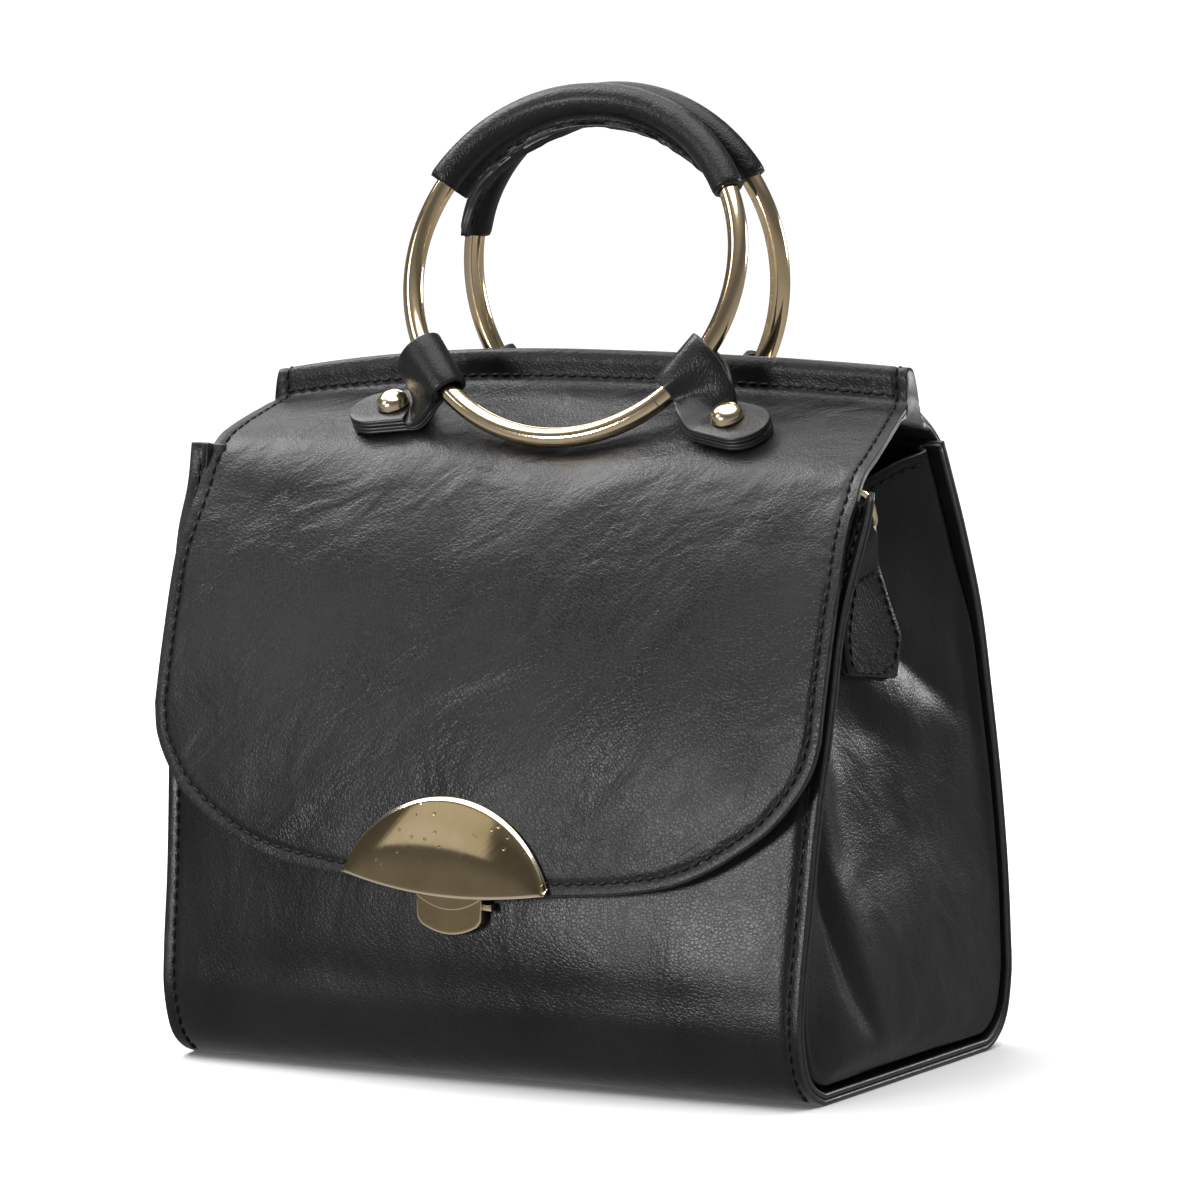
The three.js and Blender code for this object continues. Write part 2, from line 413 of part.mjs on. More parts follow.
// ---------------------------------------------------------------- riveted straps
function strap(end) {
  const h = HANDLES[end.handle], f = frameOf(h), { p, out, along } = f.at(h[end.side]);
  const land = flapTop(end.x, end.y, end.handle === 'rear'), N = land.n;
  const D = V(...end.along).addScaledVector(N, -V(...end.along).dot(N)).normalize();
  let W = N.clone().cross(D).normalize();
  if (W.dot(along) < 0) W.negate();
  const start = p.clone().addScaledVector(out, -0.85);
  const foot = land.p.clone().addScaledVector(N, GAP + (end.handle === 'rear' ? 1.6 : 0.25) + STACK / 2);
  const run = new THREE.CubicBezierCurve3(start, start.clone().addScaledVector(out, 11), foot.clone().addScaledVector(D, -12), foot.clone().addScaledVector(D, -6.3));
  const section = (c, w, n, half, thick) => [[-half, thick / 2], [half, thick / 2], [half, -thick / 2], [-half, -thick / 2]]
    .map(([a, b]) => c.clone().addScaledVector(w, a).addScaledVector(n, b));
  const list = [];
  for (const t of steps(8)) {
    const c = run.getPoint(t), d = run.getTangent(t);
    const w = along.clone().lerp(W, end.handle === 'rear' ? ease(0.1, 0.95, t) : ease(0.3, 1.0, t)); w.addScaledVector(d, -w.dot(d)).normalize();
    const n = d.clone().cross(w).normalize();
    if (n.dot(N) < 0) n.negate();
    list.push(section(c, w, n, STRAP_W / 2, mix(6.0, STACK, ease(0.05, 0.4, t))));
  }
  for (const a of [0, 0.35, 0.7, 1.0, 1.25, 1.44]) {
    list.push(section(foot.clone().addScaledVector(D, STRAP_END - STRAP_W / 2 * (1 - Math.sin(a))), W, N, STRAP_W / 2 * Math.cos(a), STACK));
  }
  const tube = (r, len, sides) => {
    const g = new THREE.CylinderGeometry(r, r, len, sides, 1);
    g.applyQuaternion(new THREE.Quaternion().setFromUnitVectors(V(0, 1, 0), along));
    g.translate(start.x, start.y, start.z);
    return toSolid(g);
  };
  return {
    geometry: fromSolid(toSolid(loft(list)).add(tube(LOOP_OUT, STRAP_W, 20)).subtract(tube(LOOP_IN, STRAP_W + 4, 16))),
    top: foot.clone().addScaledVector(N, STACK / 2), N,
  };
}
function rivet(place) {
  const pts = [[0, GAP], [RIVET * 0.92, GAP], [RIVET, GAP + 0.8], [RIVET * 0.9, 2.4], [RIVET * 0.62, 3.7], [RIVET * 0.3, 4.35], [0, 4.5]];
  const g = new THREE.LatheGeometry(pts.map(([x, y]) => new THREE.Vector2(x, y)), 16);
  g.applyQuaternion(new THREE.Quaternion().setFromUnitVectors(V(0, 1, 0), place.N));
  g.translate(place.top.x, place.top.y, place.top.z);
  return fromSolid(toSolid(g));
}

// ---------------------------------------------------------------- clasp
function claspPlate() {
  const R = (CLASP.half ** 2 + CLASP.high ** 2) / (2 * CLASP.high), rows = [];
  const turn = THREE.MathUtils.degToRad(CLASP.turn), backs = [];
  for (const t of steps(20)) {
    const x = CLASP.half * 0.985 * Math.sin(1.35 * (2 * t - 1)) / Math.sin(1.35);
    const up = Math.sqrt(R * R - x * x) - (R - CLASP.high), low = -CLASP.sag * (1 - (x / CLASP.half) ** 2);
    rows.push(steps(5).map((v) => {
      const z = mix(low - 0.05, Math.max(up, low + 2.0), v), rise = (1 - (x / CLASP.half) ** 2);
      const px = CLASP.x + x * Math.cos(turn) - z * Math.sin(turn), pz = CLASP.z + x * Math.sin(turn) + z * Math.cos(turn);
      const lean = mix(CLASP.lower * (0.6 + 0.4 * rise), CLASP.upper, v), dome = lean + 2.2 * rise * Math.sin(Math.PI * v) ** 0.8;
      backs.push(V(px, fallY(px, pz) - 0.3 - 0.25, pz));
      return V(px, fallY(px, pz) - 0.55 - dome, pz);
    }));
  }
  const plate = toSolid(wall(sheet(rows), backs));
  // tongue behind the plate's lower edge, over the face of the lock
  const half = LOCK.half + 1.2, y0 = fallY(LOCK.x, 66) - 0.55, out = new THREE.Shape();
  out.moveTo(-half, 4.6);
  out.lineTo(-half, 0.4);
  out.quadraticCurveTo(0, -10.4, half, -0.6);
  out.lineTo(half, 4.6);
  const tongue = new THREE.ExtrudeGeometry(out, { depth: 1.9, bevelEnabled: false, curveSegments: 12 });
  tongue.rotateX(Math.PI / 2);
  tongue.translate(LOCK.x + 0.8, y0, 66 - 1.4);
  return fromSolid(plate.add(toSolid(tongue)));
}
function lockBase() {
  const s = new THREE.Shape(), h = LOCK.half;
  s.moveTo(-h, LOCK.top); s.lineTo(-h, LOCK.shoulder);
  s.quadraticCurveTo(0, 2 * LOCK.low - LOCK.shoulder, h, LOCK.shoulder);
  s.lineTo(h, LOCK.top);
  const face = fallY(LOCK.x, 64) + 0.05, g = new THREE.ExtrudeGeometry(s, { depth: LOCK.deep, bevelEnabled: false, curveSegments: 12 });
  g.rotateX(Math.PI / 2);
  g.translate(LOCK.x, face + LOCK.deep, 0);
  const pin = new THREE.CylinderGeometry(1.5, 1.5, 4, 12);
  pin.rotateZ(Math.PI / 2); pin.translate(LOCK.x + h + 1.4, face + 1.9, 60.6);
  return fromSolid(toSolid(g).add(toSolid(pin)));
}

// ---------------------------------------------------------------- D-rings and their tabs (right side; left mirrored)
const dTurn = THREE.MathUtils.degToRad(DTAB_AT.turn);
const tabPoint = (a, b) => ({ y: DTAB_AT.y + a * Math.sin(dTurn) + b * Math.cos(dTurn), z: DTAB_AT.z - a * Math.cos(dTurn) + b * Math.sin(dTurn) });
const skinX = (y, z) => sideX(y, z, 60);
function tabBar() {
  const across1 = tabPoint(0, 6), across0 = tabPoint(0, -6);
  const p = V(skinX(across1.y, across1.z) - skinX(across0.y, across0.z), across1.y - across0.y, across1.z - across0.z).normalize();
  const low = tabPoint(14, 0), c = tabPoint(0, 0);
  const down = V(skinX(low.y, low.z) - skinX(c.y, c.z), low.y - c.y, low.z - c.z); down.addScaledVector(p, -down.dot(p)).normalize();
  const n = down.clone().cross(p).normalize(); if (n.x < 0) n.negate();
  const reach = DWIRE + 0.45 + 1.7;
  return { c: V(skinX(c.y, c.z), c.y, c.z).addScaledVector(n, reach + 1.2), p, down, n, reach };
}
function mirrored(g, right) {
  if (right) return g;
  const m = g.clone(); m.scale(-1, 1, 1);
  const i = m.index.array; for (let k = 0; k < i.length; k += 3) [i[k + 1], i[k + 2]] = [i[k + 2], i[k + 1]];
  return m;
}
function dTab() {
  const bar = tabBar();
  // plate draped on the side panel
  const rows = DTAB.map((r) => [-1, -0.5, 0, 0.5, 1].map((b) => { const q = tabPoint(r.along, r.shift + b * r.half); return V(skinX(q.y, q.z), q.y, q.z); }));
  const s = sheet(rows), n = normals(s.verts, s.tris), sg = Math.sign(n[0].x);
  const at = (k) => s.verts.map((v, i) => v.clone().addScaledVector(n[i], sg * k));
  const plate = toSolid(wall({ ...s, verts: at(0.9 + DTAB_T) }, at(0.9)));
  const half = DTAB[0].half, tube = (r, len, sides) => {
    const g = new THREE.CylinderGeometry(r, r, len, sides, 1);
    g.applyQuaternion(new THREE.Quaternion().setFromUnitVectors(V(0, 1, 0), bar.p));
    g.translate(bar.c.x, bar.c.y, bar.c.z);
    return toSolid(g);
  };
  // short neck from the plate to the loop
  const neckAt = (d, out, thick) => [[-1, 1], [1, 1], [1, -1], [-1, -1]].map(([a, b]) => bar.c.clone().addScaledVector(bar.down, d).addScaledVector(bar.n, out + b * thick / 2).addScaledVector(bar.p, a * half));
  const neck = loft([neckAt(0, 0, 5.4), neckAt(3.2, -0.5, 4.6), neckAt(7.5, -1.6, 2.6)]);
  return fromSolid(plate.add(toSolid(neck)).add(tube(bar.reach, 2 * half, 18)).subtract(tube(DWIRE + 0.45, 2 * half + 6, 12)));
}
function dRing() {
  const bar = tabBar(), up = bar.down.clone().negate().multiplyScalar(Math.cos(D_LEAN)).addScaledVector(bar.n, Math.sin(D_LEAN)).normalize();
  const at = (a, b) => bar.c.clone().addScaledVector(bar.p, a).addScaledVector(up, b);
  const pts = [];
  const corner = 2.6, leg = D_HIGH - D_HALF;
  for (const t of [-0.72, -0.36, 0, 0.36, 0.72]) pts.push(at(t * D_HALF, 0));
  for (const t of [0.15, 0.5, 0.85]) pts.push(at(D_HALF - corner * (1 - Math.sin(t * Math.PI / 2)), corner * (1 - Math.cos(t * Math.PI / 2))));
  for (const t of steps(12)) { const a = t * Math.PI; pts.push(at(D_HALF * Math.cos(a), leg + D_HALF * Math.sin(a))); }
  for (const t of [0.85, 0.5, 0.15]) pts.push(at(-D_HALF + corner * (1 - Math.sin(t * Math.PI / 2)), corner * (1 - Math.cos(t * Math.PI / 2))));
  const side = bar.p.clone().cross(up).normalize(), m = pts.length;
  const sections = pts.map((p, i) => {
    const d = pts[(i + 1) % m].clone().sub(pts[(i + m - 1) % m]).normalize(), o = d.clone().cross(side).normalize();
    return steps(8).slice(0, 8).map((t) => p.clone().addScaledVector(o, DWIRE * Math.cos(2 * Math.PI * t)).addScaledVector(side, DWIRE * Math.sin(2 * Math.PI * t)));
  });
  return loft(sections, { ring: true });
}

// ---------------------------------------------------------------- the handbag
const leather = (shade = 0x17171a) => new THREE.MeshStandardMaterial({ color: shade, roughness: 0.42, metalness: 0 });
const gold = () => new THREE.MeshStandardMaterial({ color: 0xd9b98a, roughness: 0.14, metalness: 1 });
const bag = new THREE.Group();
const put = (name, geometry, material) => { const m = new THREE.Mesh(geometry, material); m.name = name; bag.add(m); };

put('body_panel', body, leather());
put('gusset_left', sidePanel(false), leather(0x141417));
put('gusset_right', sidePanel(true), leather(0x141417));
put('flap', flap, leather(0x1a1a1d));
put('ring_front', ringMesh(HANDLES.front), gold());
put('ring_rear', ringMesh(HANDLES.rear), gold());
put('wrap_front', wrap(HANDLES.front), leather());
put('wrap_rear', wrap(HANDLES.rear), leather());
for (const end of TAB_ENDS) {
  const s = strap(end);
  put('tab_' + end.name, s.geometry, leather());
  put('rivet_' + end.name, rivet(s), gold());
}
put('clasp_plate', claspPlate(), gold());
put('lock_base', lockBase(), gold());
for (const side of ['left', 'right']) {
  put('dring_tab_' + side, mirrored(dTab(), side === 'right'), leather());
  put('dring_' + side, mirrored(dRing(), side === 'right'), gold());
}

export default bag;
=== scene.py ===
import json
import math

import bpy
import numpy as np
from mathutils import Matrix, Vector
from mathutils.bvhtree import BVHTree

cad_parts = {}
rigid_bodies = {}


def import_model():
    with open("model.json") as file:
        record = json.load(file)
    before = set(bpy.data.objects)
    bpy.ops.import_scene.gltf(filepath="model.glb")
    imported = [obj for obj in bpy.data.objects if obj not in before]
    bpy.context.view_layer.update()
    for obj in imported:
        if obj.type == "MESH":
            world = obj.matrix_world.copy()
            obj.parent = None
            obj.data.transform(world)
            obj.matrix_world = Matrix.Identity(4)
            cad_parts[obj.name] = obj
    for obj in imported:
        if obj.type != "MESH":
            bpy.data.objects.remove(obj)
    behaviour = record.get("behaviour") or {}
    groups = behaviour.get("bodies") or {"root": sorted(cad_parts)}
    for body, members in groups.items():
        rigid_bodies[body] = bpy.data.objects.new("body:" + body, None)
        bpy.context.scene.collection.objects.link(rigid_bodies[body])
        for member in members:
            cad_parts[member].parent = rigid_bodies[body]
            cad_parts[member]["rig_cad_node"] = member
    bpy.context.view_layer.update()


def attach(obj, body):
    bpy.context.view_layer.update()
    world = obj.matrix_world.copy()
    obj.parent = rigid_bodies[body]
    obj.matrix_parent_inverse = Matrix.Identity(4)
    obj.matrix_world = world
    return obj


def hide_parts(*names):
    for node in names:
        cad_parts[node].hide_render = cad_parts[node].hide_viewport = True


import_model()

# ---------------------------------------------------------------- driving sizes, mm
WALL, FLAP, GAP, RIM, SEAM = 2.0, 2.6, 0.3, 4.6, 6.4
RING_R, WIRE, SLEEVE, FIN, FIN_T = 58.5, 3.4, 5.3, 4.2, 2.9
STRAP_W, STACK, STRAP_END, LOOP_IN, LOOP_OUT = 20.0, 5.0, 15.5, 4.7, 6.6
RIVET, DWIRE, D_HALF, D_HIGH, D_LEAN, DTAB_T = 5.6, 1.4, 10.2, 15.5, 0.11, 3.2
HEM_LEAN = 0.9
PITCH, THREAD = 4.3, 0.56      # sewing: stitch pitch and thread radius
EDGE_STITCH = 3.7              # stitch line in from an edge

# side profile of the wrapped panel: y, z of the outer face at the seam and the half width there
PROFILE = [
    (-38.6, 204, 128.7), (-41.4, 190, 128.7), (-48.2, 176, 128.2), (-53.4, 163, 126.9), (-57.0, 150, 125.8),
    (-59.8, 133, 125.0), (-62.4, 118, 124.2), (-66.2, 94, 122.4), (-70.4, 63, 121.0), (-74.4, 38, 120.2),
    (-75.2, 23, 120.0), (-70.4, 8, 120.0), (-61.0, 1.2, 120.0), (-51.0, 0, 120.0), (-26.0, 0, 120.0),
    (0.0, 0, 120.0), (26.0, 0, 120.0), (51.0, 0, 120.0), (61.0, 1.2, 120.0), (70.4, 8, 120.0),
    (75.2, 23, 120.0), (74.6, 38, 120.2), (71.0, 63, 121.0), (64.2, 94, 122.0), (56.4, 120, 123.2),
    (46.4, 150, 124.6), (35.0, 176, 125.0), (28.2, 190, 125.0), (20.6, 207, 124.4),
]
# swell of the middle of the front and back beyond the seams: z, front, back
SWELL = [(0, 0, 0), (25, 4, 2.5), (60, 8, 5), (100, 7.5, 5), (150, 4, 3), (185, 0.5, 0.4), (210, 0, 0)]
# inward fold of the side panels: z, depth
FOLD = [(0, -1), (25, -3), (50, -1.5), (75, 3.5), (100, 9), (130, 16.5), (160, 21), (182, 23), (205, 24)]
# flap over the top: yL, zL, wL, yC, zC, yR, zR, wR, dip
FLAP_TOP = [
    (21.6, 210.8, 122.4, 20.8, 213.4, 21.2, 211.6, 119.8, 0), (14.2, 214.8, 123.0, 14.0, 223.6, 14.0, 220.6, 116.6, 0),
    (13.6, 221.6, 123.2, 13.6, 231.8, 13.6, 228.8, 117.4, 0), (12.0, 224.0, 123.2, 12.0, 234.0, 12.0, 231.0, 117.4, 0),
    (8.4, 224.4, 123.2, 8.4, 234.2, 8.4, 231.3, 117.4, 0), (6.7, 221.8, 123.2, 6.7, 231.6, 6.7, 228.8, 117.4, 0),
    (6.4, 215.4, 123.0, 6.4, 224.2, 6.4, 220.8, 118.0, 0), (-1.5, 213.2, 122.8, -2.0, 219.0, -2.0, 216.4, 119.6, 0),
    (-12.0, 210.8, 122.8, -12.0, 214.2, -12.0, 211.6, 121.0, 3.2), (-22.0, 208.2, 122.8, -22.5, 208.2, -22.5, 205.8, 121.8, 4.6),
    (-30.0, 205.4, 122.8, -31.0, 202.0, -30.5, 201.6, 122.2, 2.6), (-35.0, 201.6, 122.9, -36.6, 196.0, -35.4, 198.0, 122.8, 0.8),
    (-39.2, 196.0, 123.2, -41.4, 190.0, -39.4, 193.2, 123.4, 0),
]
DIP_X, DIP_HALF = 7.0, 27.0
# front fall of the flap: z, y at the side edges, y in the middle
FALL = [(196, -38.8, -35.0), (186, -45.0, -44.2), (170, -54.2, -54.6), (145, -62.6, -66.0), (120, -69.2, -74.6),
        (100, -73.2, -79.4), (80, -76.4, -82.4), (60, -78.6, -84.6)]
# lower outline of the flap, half of it: x, z
HEM = [(125.2, 119), (123.2, 109.6), (118.4, 100.6), (110.8, 91.4), (101, 84.0), (89, 77.0), (76, 72.0),
       (60, 69.0), (42, 67.2), (21, 66.0), (0, 65.4)]
HANDLES = {
    "front": dict(centre=(0.1, -3.4, 262.5), tilt=20.8, yaw=5.1, fin=1, start=28.0, end=151.5, right=-36, left=218),
    "rear": dict(centre=(-1.2, 32.8, 258.8), tilt=-3.3, yaw=0.8, fin=-1, start=33.0, end=168.0, right=-40, left=220),
}
# fold of the wraps' fins towards the ring's centre: degrees round the ring, front, rear
FIN_FOLD = [(25, 0, -5), (45, 40, 38), (60, 56, 56), (75, 66, 66), (90, 70, 70), (105, 68, 68), (120, 60, 56),
            (135, 50, 36), (157, 38, 6), (166, 36, 4)]
TAB_ENDS = [
    ("front_left", "front", "left", -61.0, -16.6, (-0.97, -0.22, 0)), ("front_right", "front", "right", 66.0, -16.6, (0.95, -0.28, 0)),
    ("rear_left", "rear", "left", -66.0, 20.4, (-0.97, 0.1, -0.2)), ("rear_right", "rear", "right", 65.0, 20.4, (0.97, 0.1, -0.2)),
]
# pointed tab: distance from the bar, half width, sideways shift
DTAB = [(4.5, 6.8, 0), (12, 7.2, -0.9), (20, 10.2, -4.0), (29, 13.2, -7.0), (37.5, 14.6, -8.0), (44, 7.6, -4.6), (49.5, 0.6, -1.2)]
DTAB_Y, DTAB_Z, DTAB_TURN = -13.0, 178.0, math.radians(20)
CLASP = dict(x=-4.2, z=68.0, half=38.8, high=27.4, sag=4.0, turn=-2.6, lower=5.2, upper=1.3)
LOCK = dict(x=-3.2, half=12.3, top=64.2, low=50.8, shoulder=54.8, deep=4.2)


# ---------------------------------------------------------------- small helpers
def mix(a, b, t):
    return a + (b - a) * t


def ease(a, b, v):
    t = np.clip((np.asarray(v, float) - a) / (b - a), 0, 1)
    return t * t * (3 - 2 * t)


def unit(v):
    v = np.asarray(v, float)
    return v / np.maximum(np.linalg.norm(v, axis=-1, keepdims=True), 1e-12)


def column(rows, key, value):
    """Monotone cubic through two columns of a table."""
    rows = sorted(rows, key=lambda r: r[key])
    x = np.array([r[key] for r in rows], float)
    y = np.array([r[value] for r in rows], float)
    d = np.diff(y) / np.diff(x)
    m = np.zeros_like(x)
    m[0], m[-1] = d[0], d[-1]
    for i in range(1, len(x) - 1):
        m[i] = 0 if d[i - 1] * d[i] <= 0 else 2 * d[i - 1] * d[i] / (d[i - 1] + d[i])

    def value_at(v):
        c = np.clip(np.asarray(v, float), x[0], x[-1])
        i = np.clip(np.searchsorted(x, c, side="left") - 1, 0, len(x) - 2)
        h = x[i + 1] - x[i]
        t = (c - x[i]) / h
        return y[i] * (1 + 2 * t) * (1 - t) ** 2 + h * m[i] * t * (1 - t) ** 2 + y[i + 1] * t * t * (3 - 2 * t) + h * m[i + 1] * t * t * (t - 1)

    return value_at


def catmull(points, per=400):
    """Dense points of a centripetal curve, the same number for each span."""
    p = [np.array(q, float) for q in points]
    out = []
    for i in range(len(p) - 1):
        p1, p2 = p[i], p[i + 1]
        p0 = p[i - 1] if i else 2 * p[0] - p[1]
        p3 = p[i + 2] if i + 2 < len(p) else 2 * p[-1] - p[-2]
        d0, d1, d2 = (max(np.dot(b - a, b - a) ** 0.25, 1e-6) for a, b in ((p0, p1), (p1, p2), (p2, p3)))
        t1 = ((p1 - p0) / d0 - (p2 - p0) / (d0 + d1) + (p2 - p1) / d1) * d1
        t2 = ((p2 - p1) / d1 - (p3 - p1) / (d1 + d2) + (p3 - p2) / d2) * d1
        t = np.linspace(0, 1, per, endpoint=False)[:, None]
        out.append(p1 + t1 * t + (-3 * p1 + 3 * p2 - 2 * t1 - t2) * t ** 2 + (2 * p1 - 2 * p2 + t1 + t2) * t ** 3)
    return np.vstack(out + [p[-1][None]])


def lengths(path):
    return np.concatenate([[0], np.cumsum(np.linalg.norm(np.diff(path, axis=0), axis=1))])


def along(path, at, *others):
    """Points of a path at given distances along it, and other per-point values there."""
    s = lengths(path)
    return [np.stack([np.interp(at, s, a[:, k]) for k in range(a.shape[1])], -1) for a in (path, *others)]


# smooth noise on a fixed lattice
LATTICE = np.random.RandomState(11).rand(8192)


def noise(p, size, seed=0):
    q = np.asarray(p, float) / size
    i = np.floor(q).astype(np.int64)
    f = q - i
    f = f * f * f * (f * (f * 6 - 15) + 10)
    out = 0
    for dx in (0, 1):
        for dy in (0, 1):
            for dz in (0, 1):
                h = ((i[..., 0] + dx) * 73856093) ^ ((i[..., 1] + dy) * 19349663) ^ ((i[..., 2] + dz) * 83492791) ^ (seed * 2654435)
                w = (f[..., 0] if dx else 1 - f[..., 0]) * (f[..., 1] if dy else 1 - f[..., 1]) * (f[..., 2] if dz else 1 - f[..., 2])
                out = out + w * LATTICE[h & 8191]
    return out * 2 - 1


def fbm(p, size, octaves=3, seed=0):
    return sum(noise(p, size / 2 ** k, seed + k) * 0.55 ** k for k in range(octaves))


# ---------------------------------------------------------------- meshes
class Mesh:
    """Gathers points and faces of one piece; a face carries a material number."""

    def __init__(self):
        self.v, self.f, self.m, self.n = [], [], [], 0

    def add(self, verts, faces, mat=0):
        verts = np.asarray(verts, float).reshape(-1, 3)
        self.v.append(verts)
        self.f += [tuple(int(k) + self.n for k in f) for f in faces]
        self.m += [mat] * len(faces) if np.isscalar(mat) else list(mat)
        self.n += len(verts)

    def build(self, name, body, slot, nodes, mats, sharp=None):
        me = bpy.data.meshes.new(name)
        me.from_pydata((np.vstack(self.v) * 0.001).tolist(), [], self.f)
        me.validate(verbose=False)
        for m in mats:
            me.materials.append(m)
        me.polygons.foreach_set("material_index", self.m)
        me.polygons.foreach_set("use_smooth", [True] * len(me.polygons))
        me.update()
        o = bpy.data.objects.new(name, me)
        bpy.context.scene.collection.objects.link(o)
        if sharp:
            me.set_sharp_from_angle(angle=math.radians(sharp))
        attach(o, body)
        if nodes:
            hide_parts(*nodes)
        return o


def grid_faces(nu, nv, close_u=False, close_v=False, flip=False):
    f = []
    for i in range(nu if close_u else nu - 1):
        a, b = i * nv, ((i + 1) % nu) * nv
        for j in range(nv if close_v else nv - 1):
            k = (j + 1) % nv
            q = (a + j, b + j, b + k, a + k)
            f.append(q[::-1] if flip else q)
    return f


def welded(p, faces):
    """Points that coincide become one, and faces that collapse are left out."""
    key, first, back = np.unique(np.round(p, 4), axis=0, return_index=True, return_inverse=True)
    back = back.reshape(-1)
    out = []
    for f in faces:
        g = []
        for k in f:
            k = int(back[k])
            if not g or (g[-1] != k and g[0] != k):
                g.append(k)
        if len(g) > 2:
            out.append(tuple(g))
    return p[first], out, back


def point_normals(p, faces):
    n = np.zeros_like(p)
    t = np.array([(f[0], f[k], f[k + 1]) for f in faces for k in range(1, len(f) - 1)])
    fn = np.cross(p[t[:, 1]] - p[t[:, 0]], p[t[:, 2]] - p[t[:, 0]])
    for k in range(3):
        np.add.at(n, t[:, k], fn)
    return unit(n)


def shell(mesh, p, faces, n, thick, rim=0.5, back=None, mats=(0, 1, 2), groove=0.0):
    """A leather wall: the given face, its back, and a rounded painted edge between them."""
    p, n = np.asarray(p, float), np.asarray(n, float)
    back = p - n * thick if back is None else back
    count = {}
    for f in faces:
        for a, b in zip(f, f[1:] + f[:1]):
            count[(a, b)] = True
    edges = [(a, b) for (a, b) in count if (b, a) not in count]
    out = np.zeros_like(p)
    for a, b in edges:
        d = np.cross(p[b] - p[a], n[a] + n[b])
        d /= max(np.linalg.norm(d), 1e-12)
        out[a] += d
        out[b] += d
    out = unit(out - n * (out * n).sum(-1, keepdims=True))
    m = len(p)
    mesh.add(p, faces, mats[0])
    mesh.add(back, [f[::-1] for f in faces], mats[2])
    base = mesh.n - 2 * m
    nxt = dict(edges)
    ids = {a: k for k, a in enumerate(nxt)}
    order = list(nxt)
    steps = [(0.08, 0.45), (0.25, 0.85), (0.42, 1.0), (0.5, 1.0 - groove), (0.58, 1.0), (0.75, 0.85), (0.92, 0.45)]
    rings = [mix(p[order], back[order], d) + out[order] * rim * o for d, o in steps]
    k = len(order)
    mesh.add(np.vstack(rings), [], [])
    r0 = mesh.n - k * len(rings)
    for a, b in edges:
        ia, ib = ids[a], ids[b] if b in ids else None
        if ib is None:
            continue
        chain_a = [base + a] + [r0 + s * k + ia for s in range(len(rings))] + [base + m + a]
        chain_b = [base + b] + [r0 + s * k + ib for s in range(len(rings))] + [base + m + b]
        for s in range(len(chain_a) - 1):
            mesh.f.append((chain_b[s], chain_a[s], chain_a[s + 1], chain_b[s + 1]))
            mesh.m.append(mats[1])


def loft(mesh, sections, mat=0, caps=True, close=False, flip=False):
    """Closed sections of equal length joined along a run."""
    s = np.asarray(sections, float)
    n, m = s.shape[:2]
    mesh.add(s.reshape(-1, 3), grid_faces(n, m, close_u=close, close_v=True, flip=flip), mat)
    if caps and not close:
        for i, turn in ((0, flip), (n - 1, not flip)):
            c = s[i].mean(0)
            ring = [(k, (k + 1) % m) for k in range(m)]
            mesh.add(np.vstack([s[i], c]), [(m, b, a) if turn else (m, a, b) for a, b in ring], mat)


def surface_tree(p, faces):
    return BVHTree.FromPolygons([Vector(q) for q in p], faces, all_triangles=False)


def snapped(tree, pts):
    out, nrm = [], []
    for q in pts:
        loc, nn, _, _ = tree.find_nearest(Vector(q))
        out.append(loc)
        nrm.append(nn)
    return np.array(out), np.array(nrm)


def press_line(p, n, path, depth, width, fade=None):
    """Presses a groove into a face along a path."""
    from_path = np.full(len(p), 1e9)
    dense = along(path, np.arange(0, lengths(path)[-1], 0.6))[0]
    for k in range(0, len(dense), 400):
        part = dense[k:k + 400]
        near = np.where(((p > part.min(0) - 4) & (p < part.max(0) + 4)).all(1))[0]
        if len(near):
            for a in range(0, len(near), 3000):
                q = near[a:a + 3000]
                from_path[q] = np.minimum(from_path[q], np.linalg.norm(p[q][:, None] - part[None], axis=-1).min(1))
    fall = np.exp(-((from_path / width) ** 2))
    return p - n * (depth * fall)[:, None], from_path


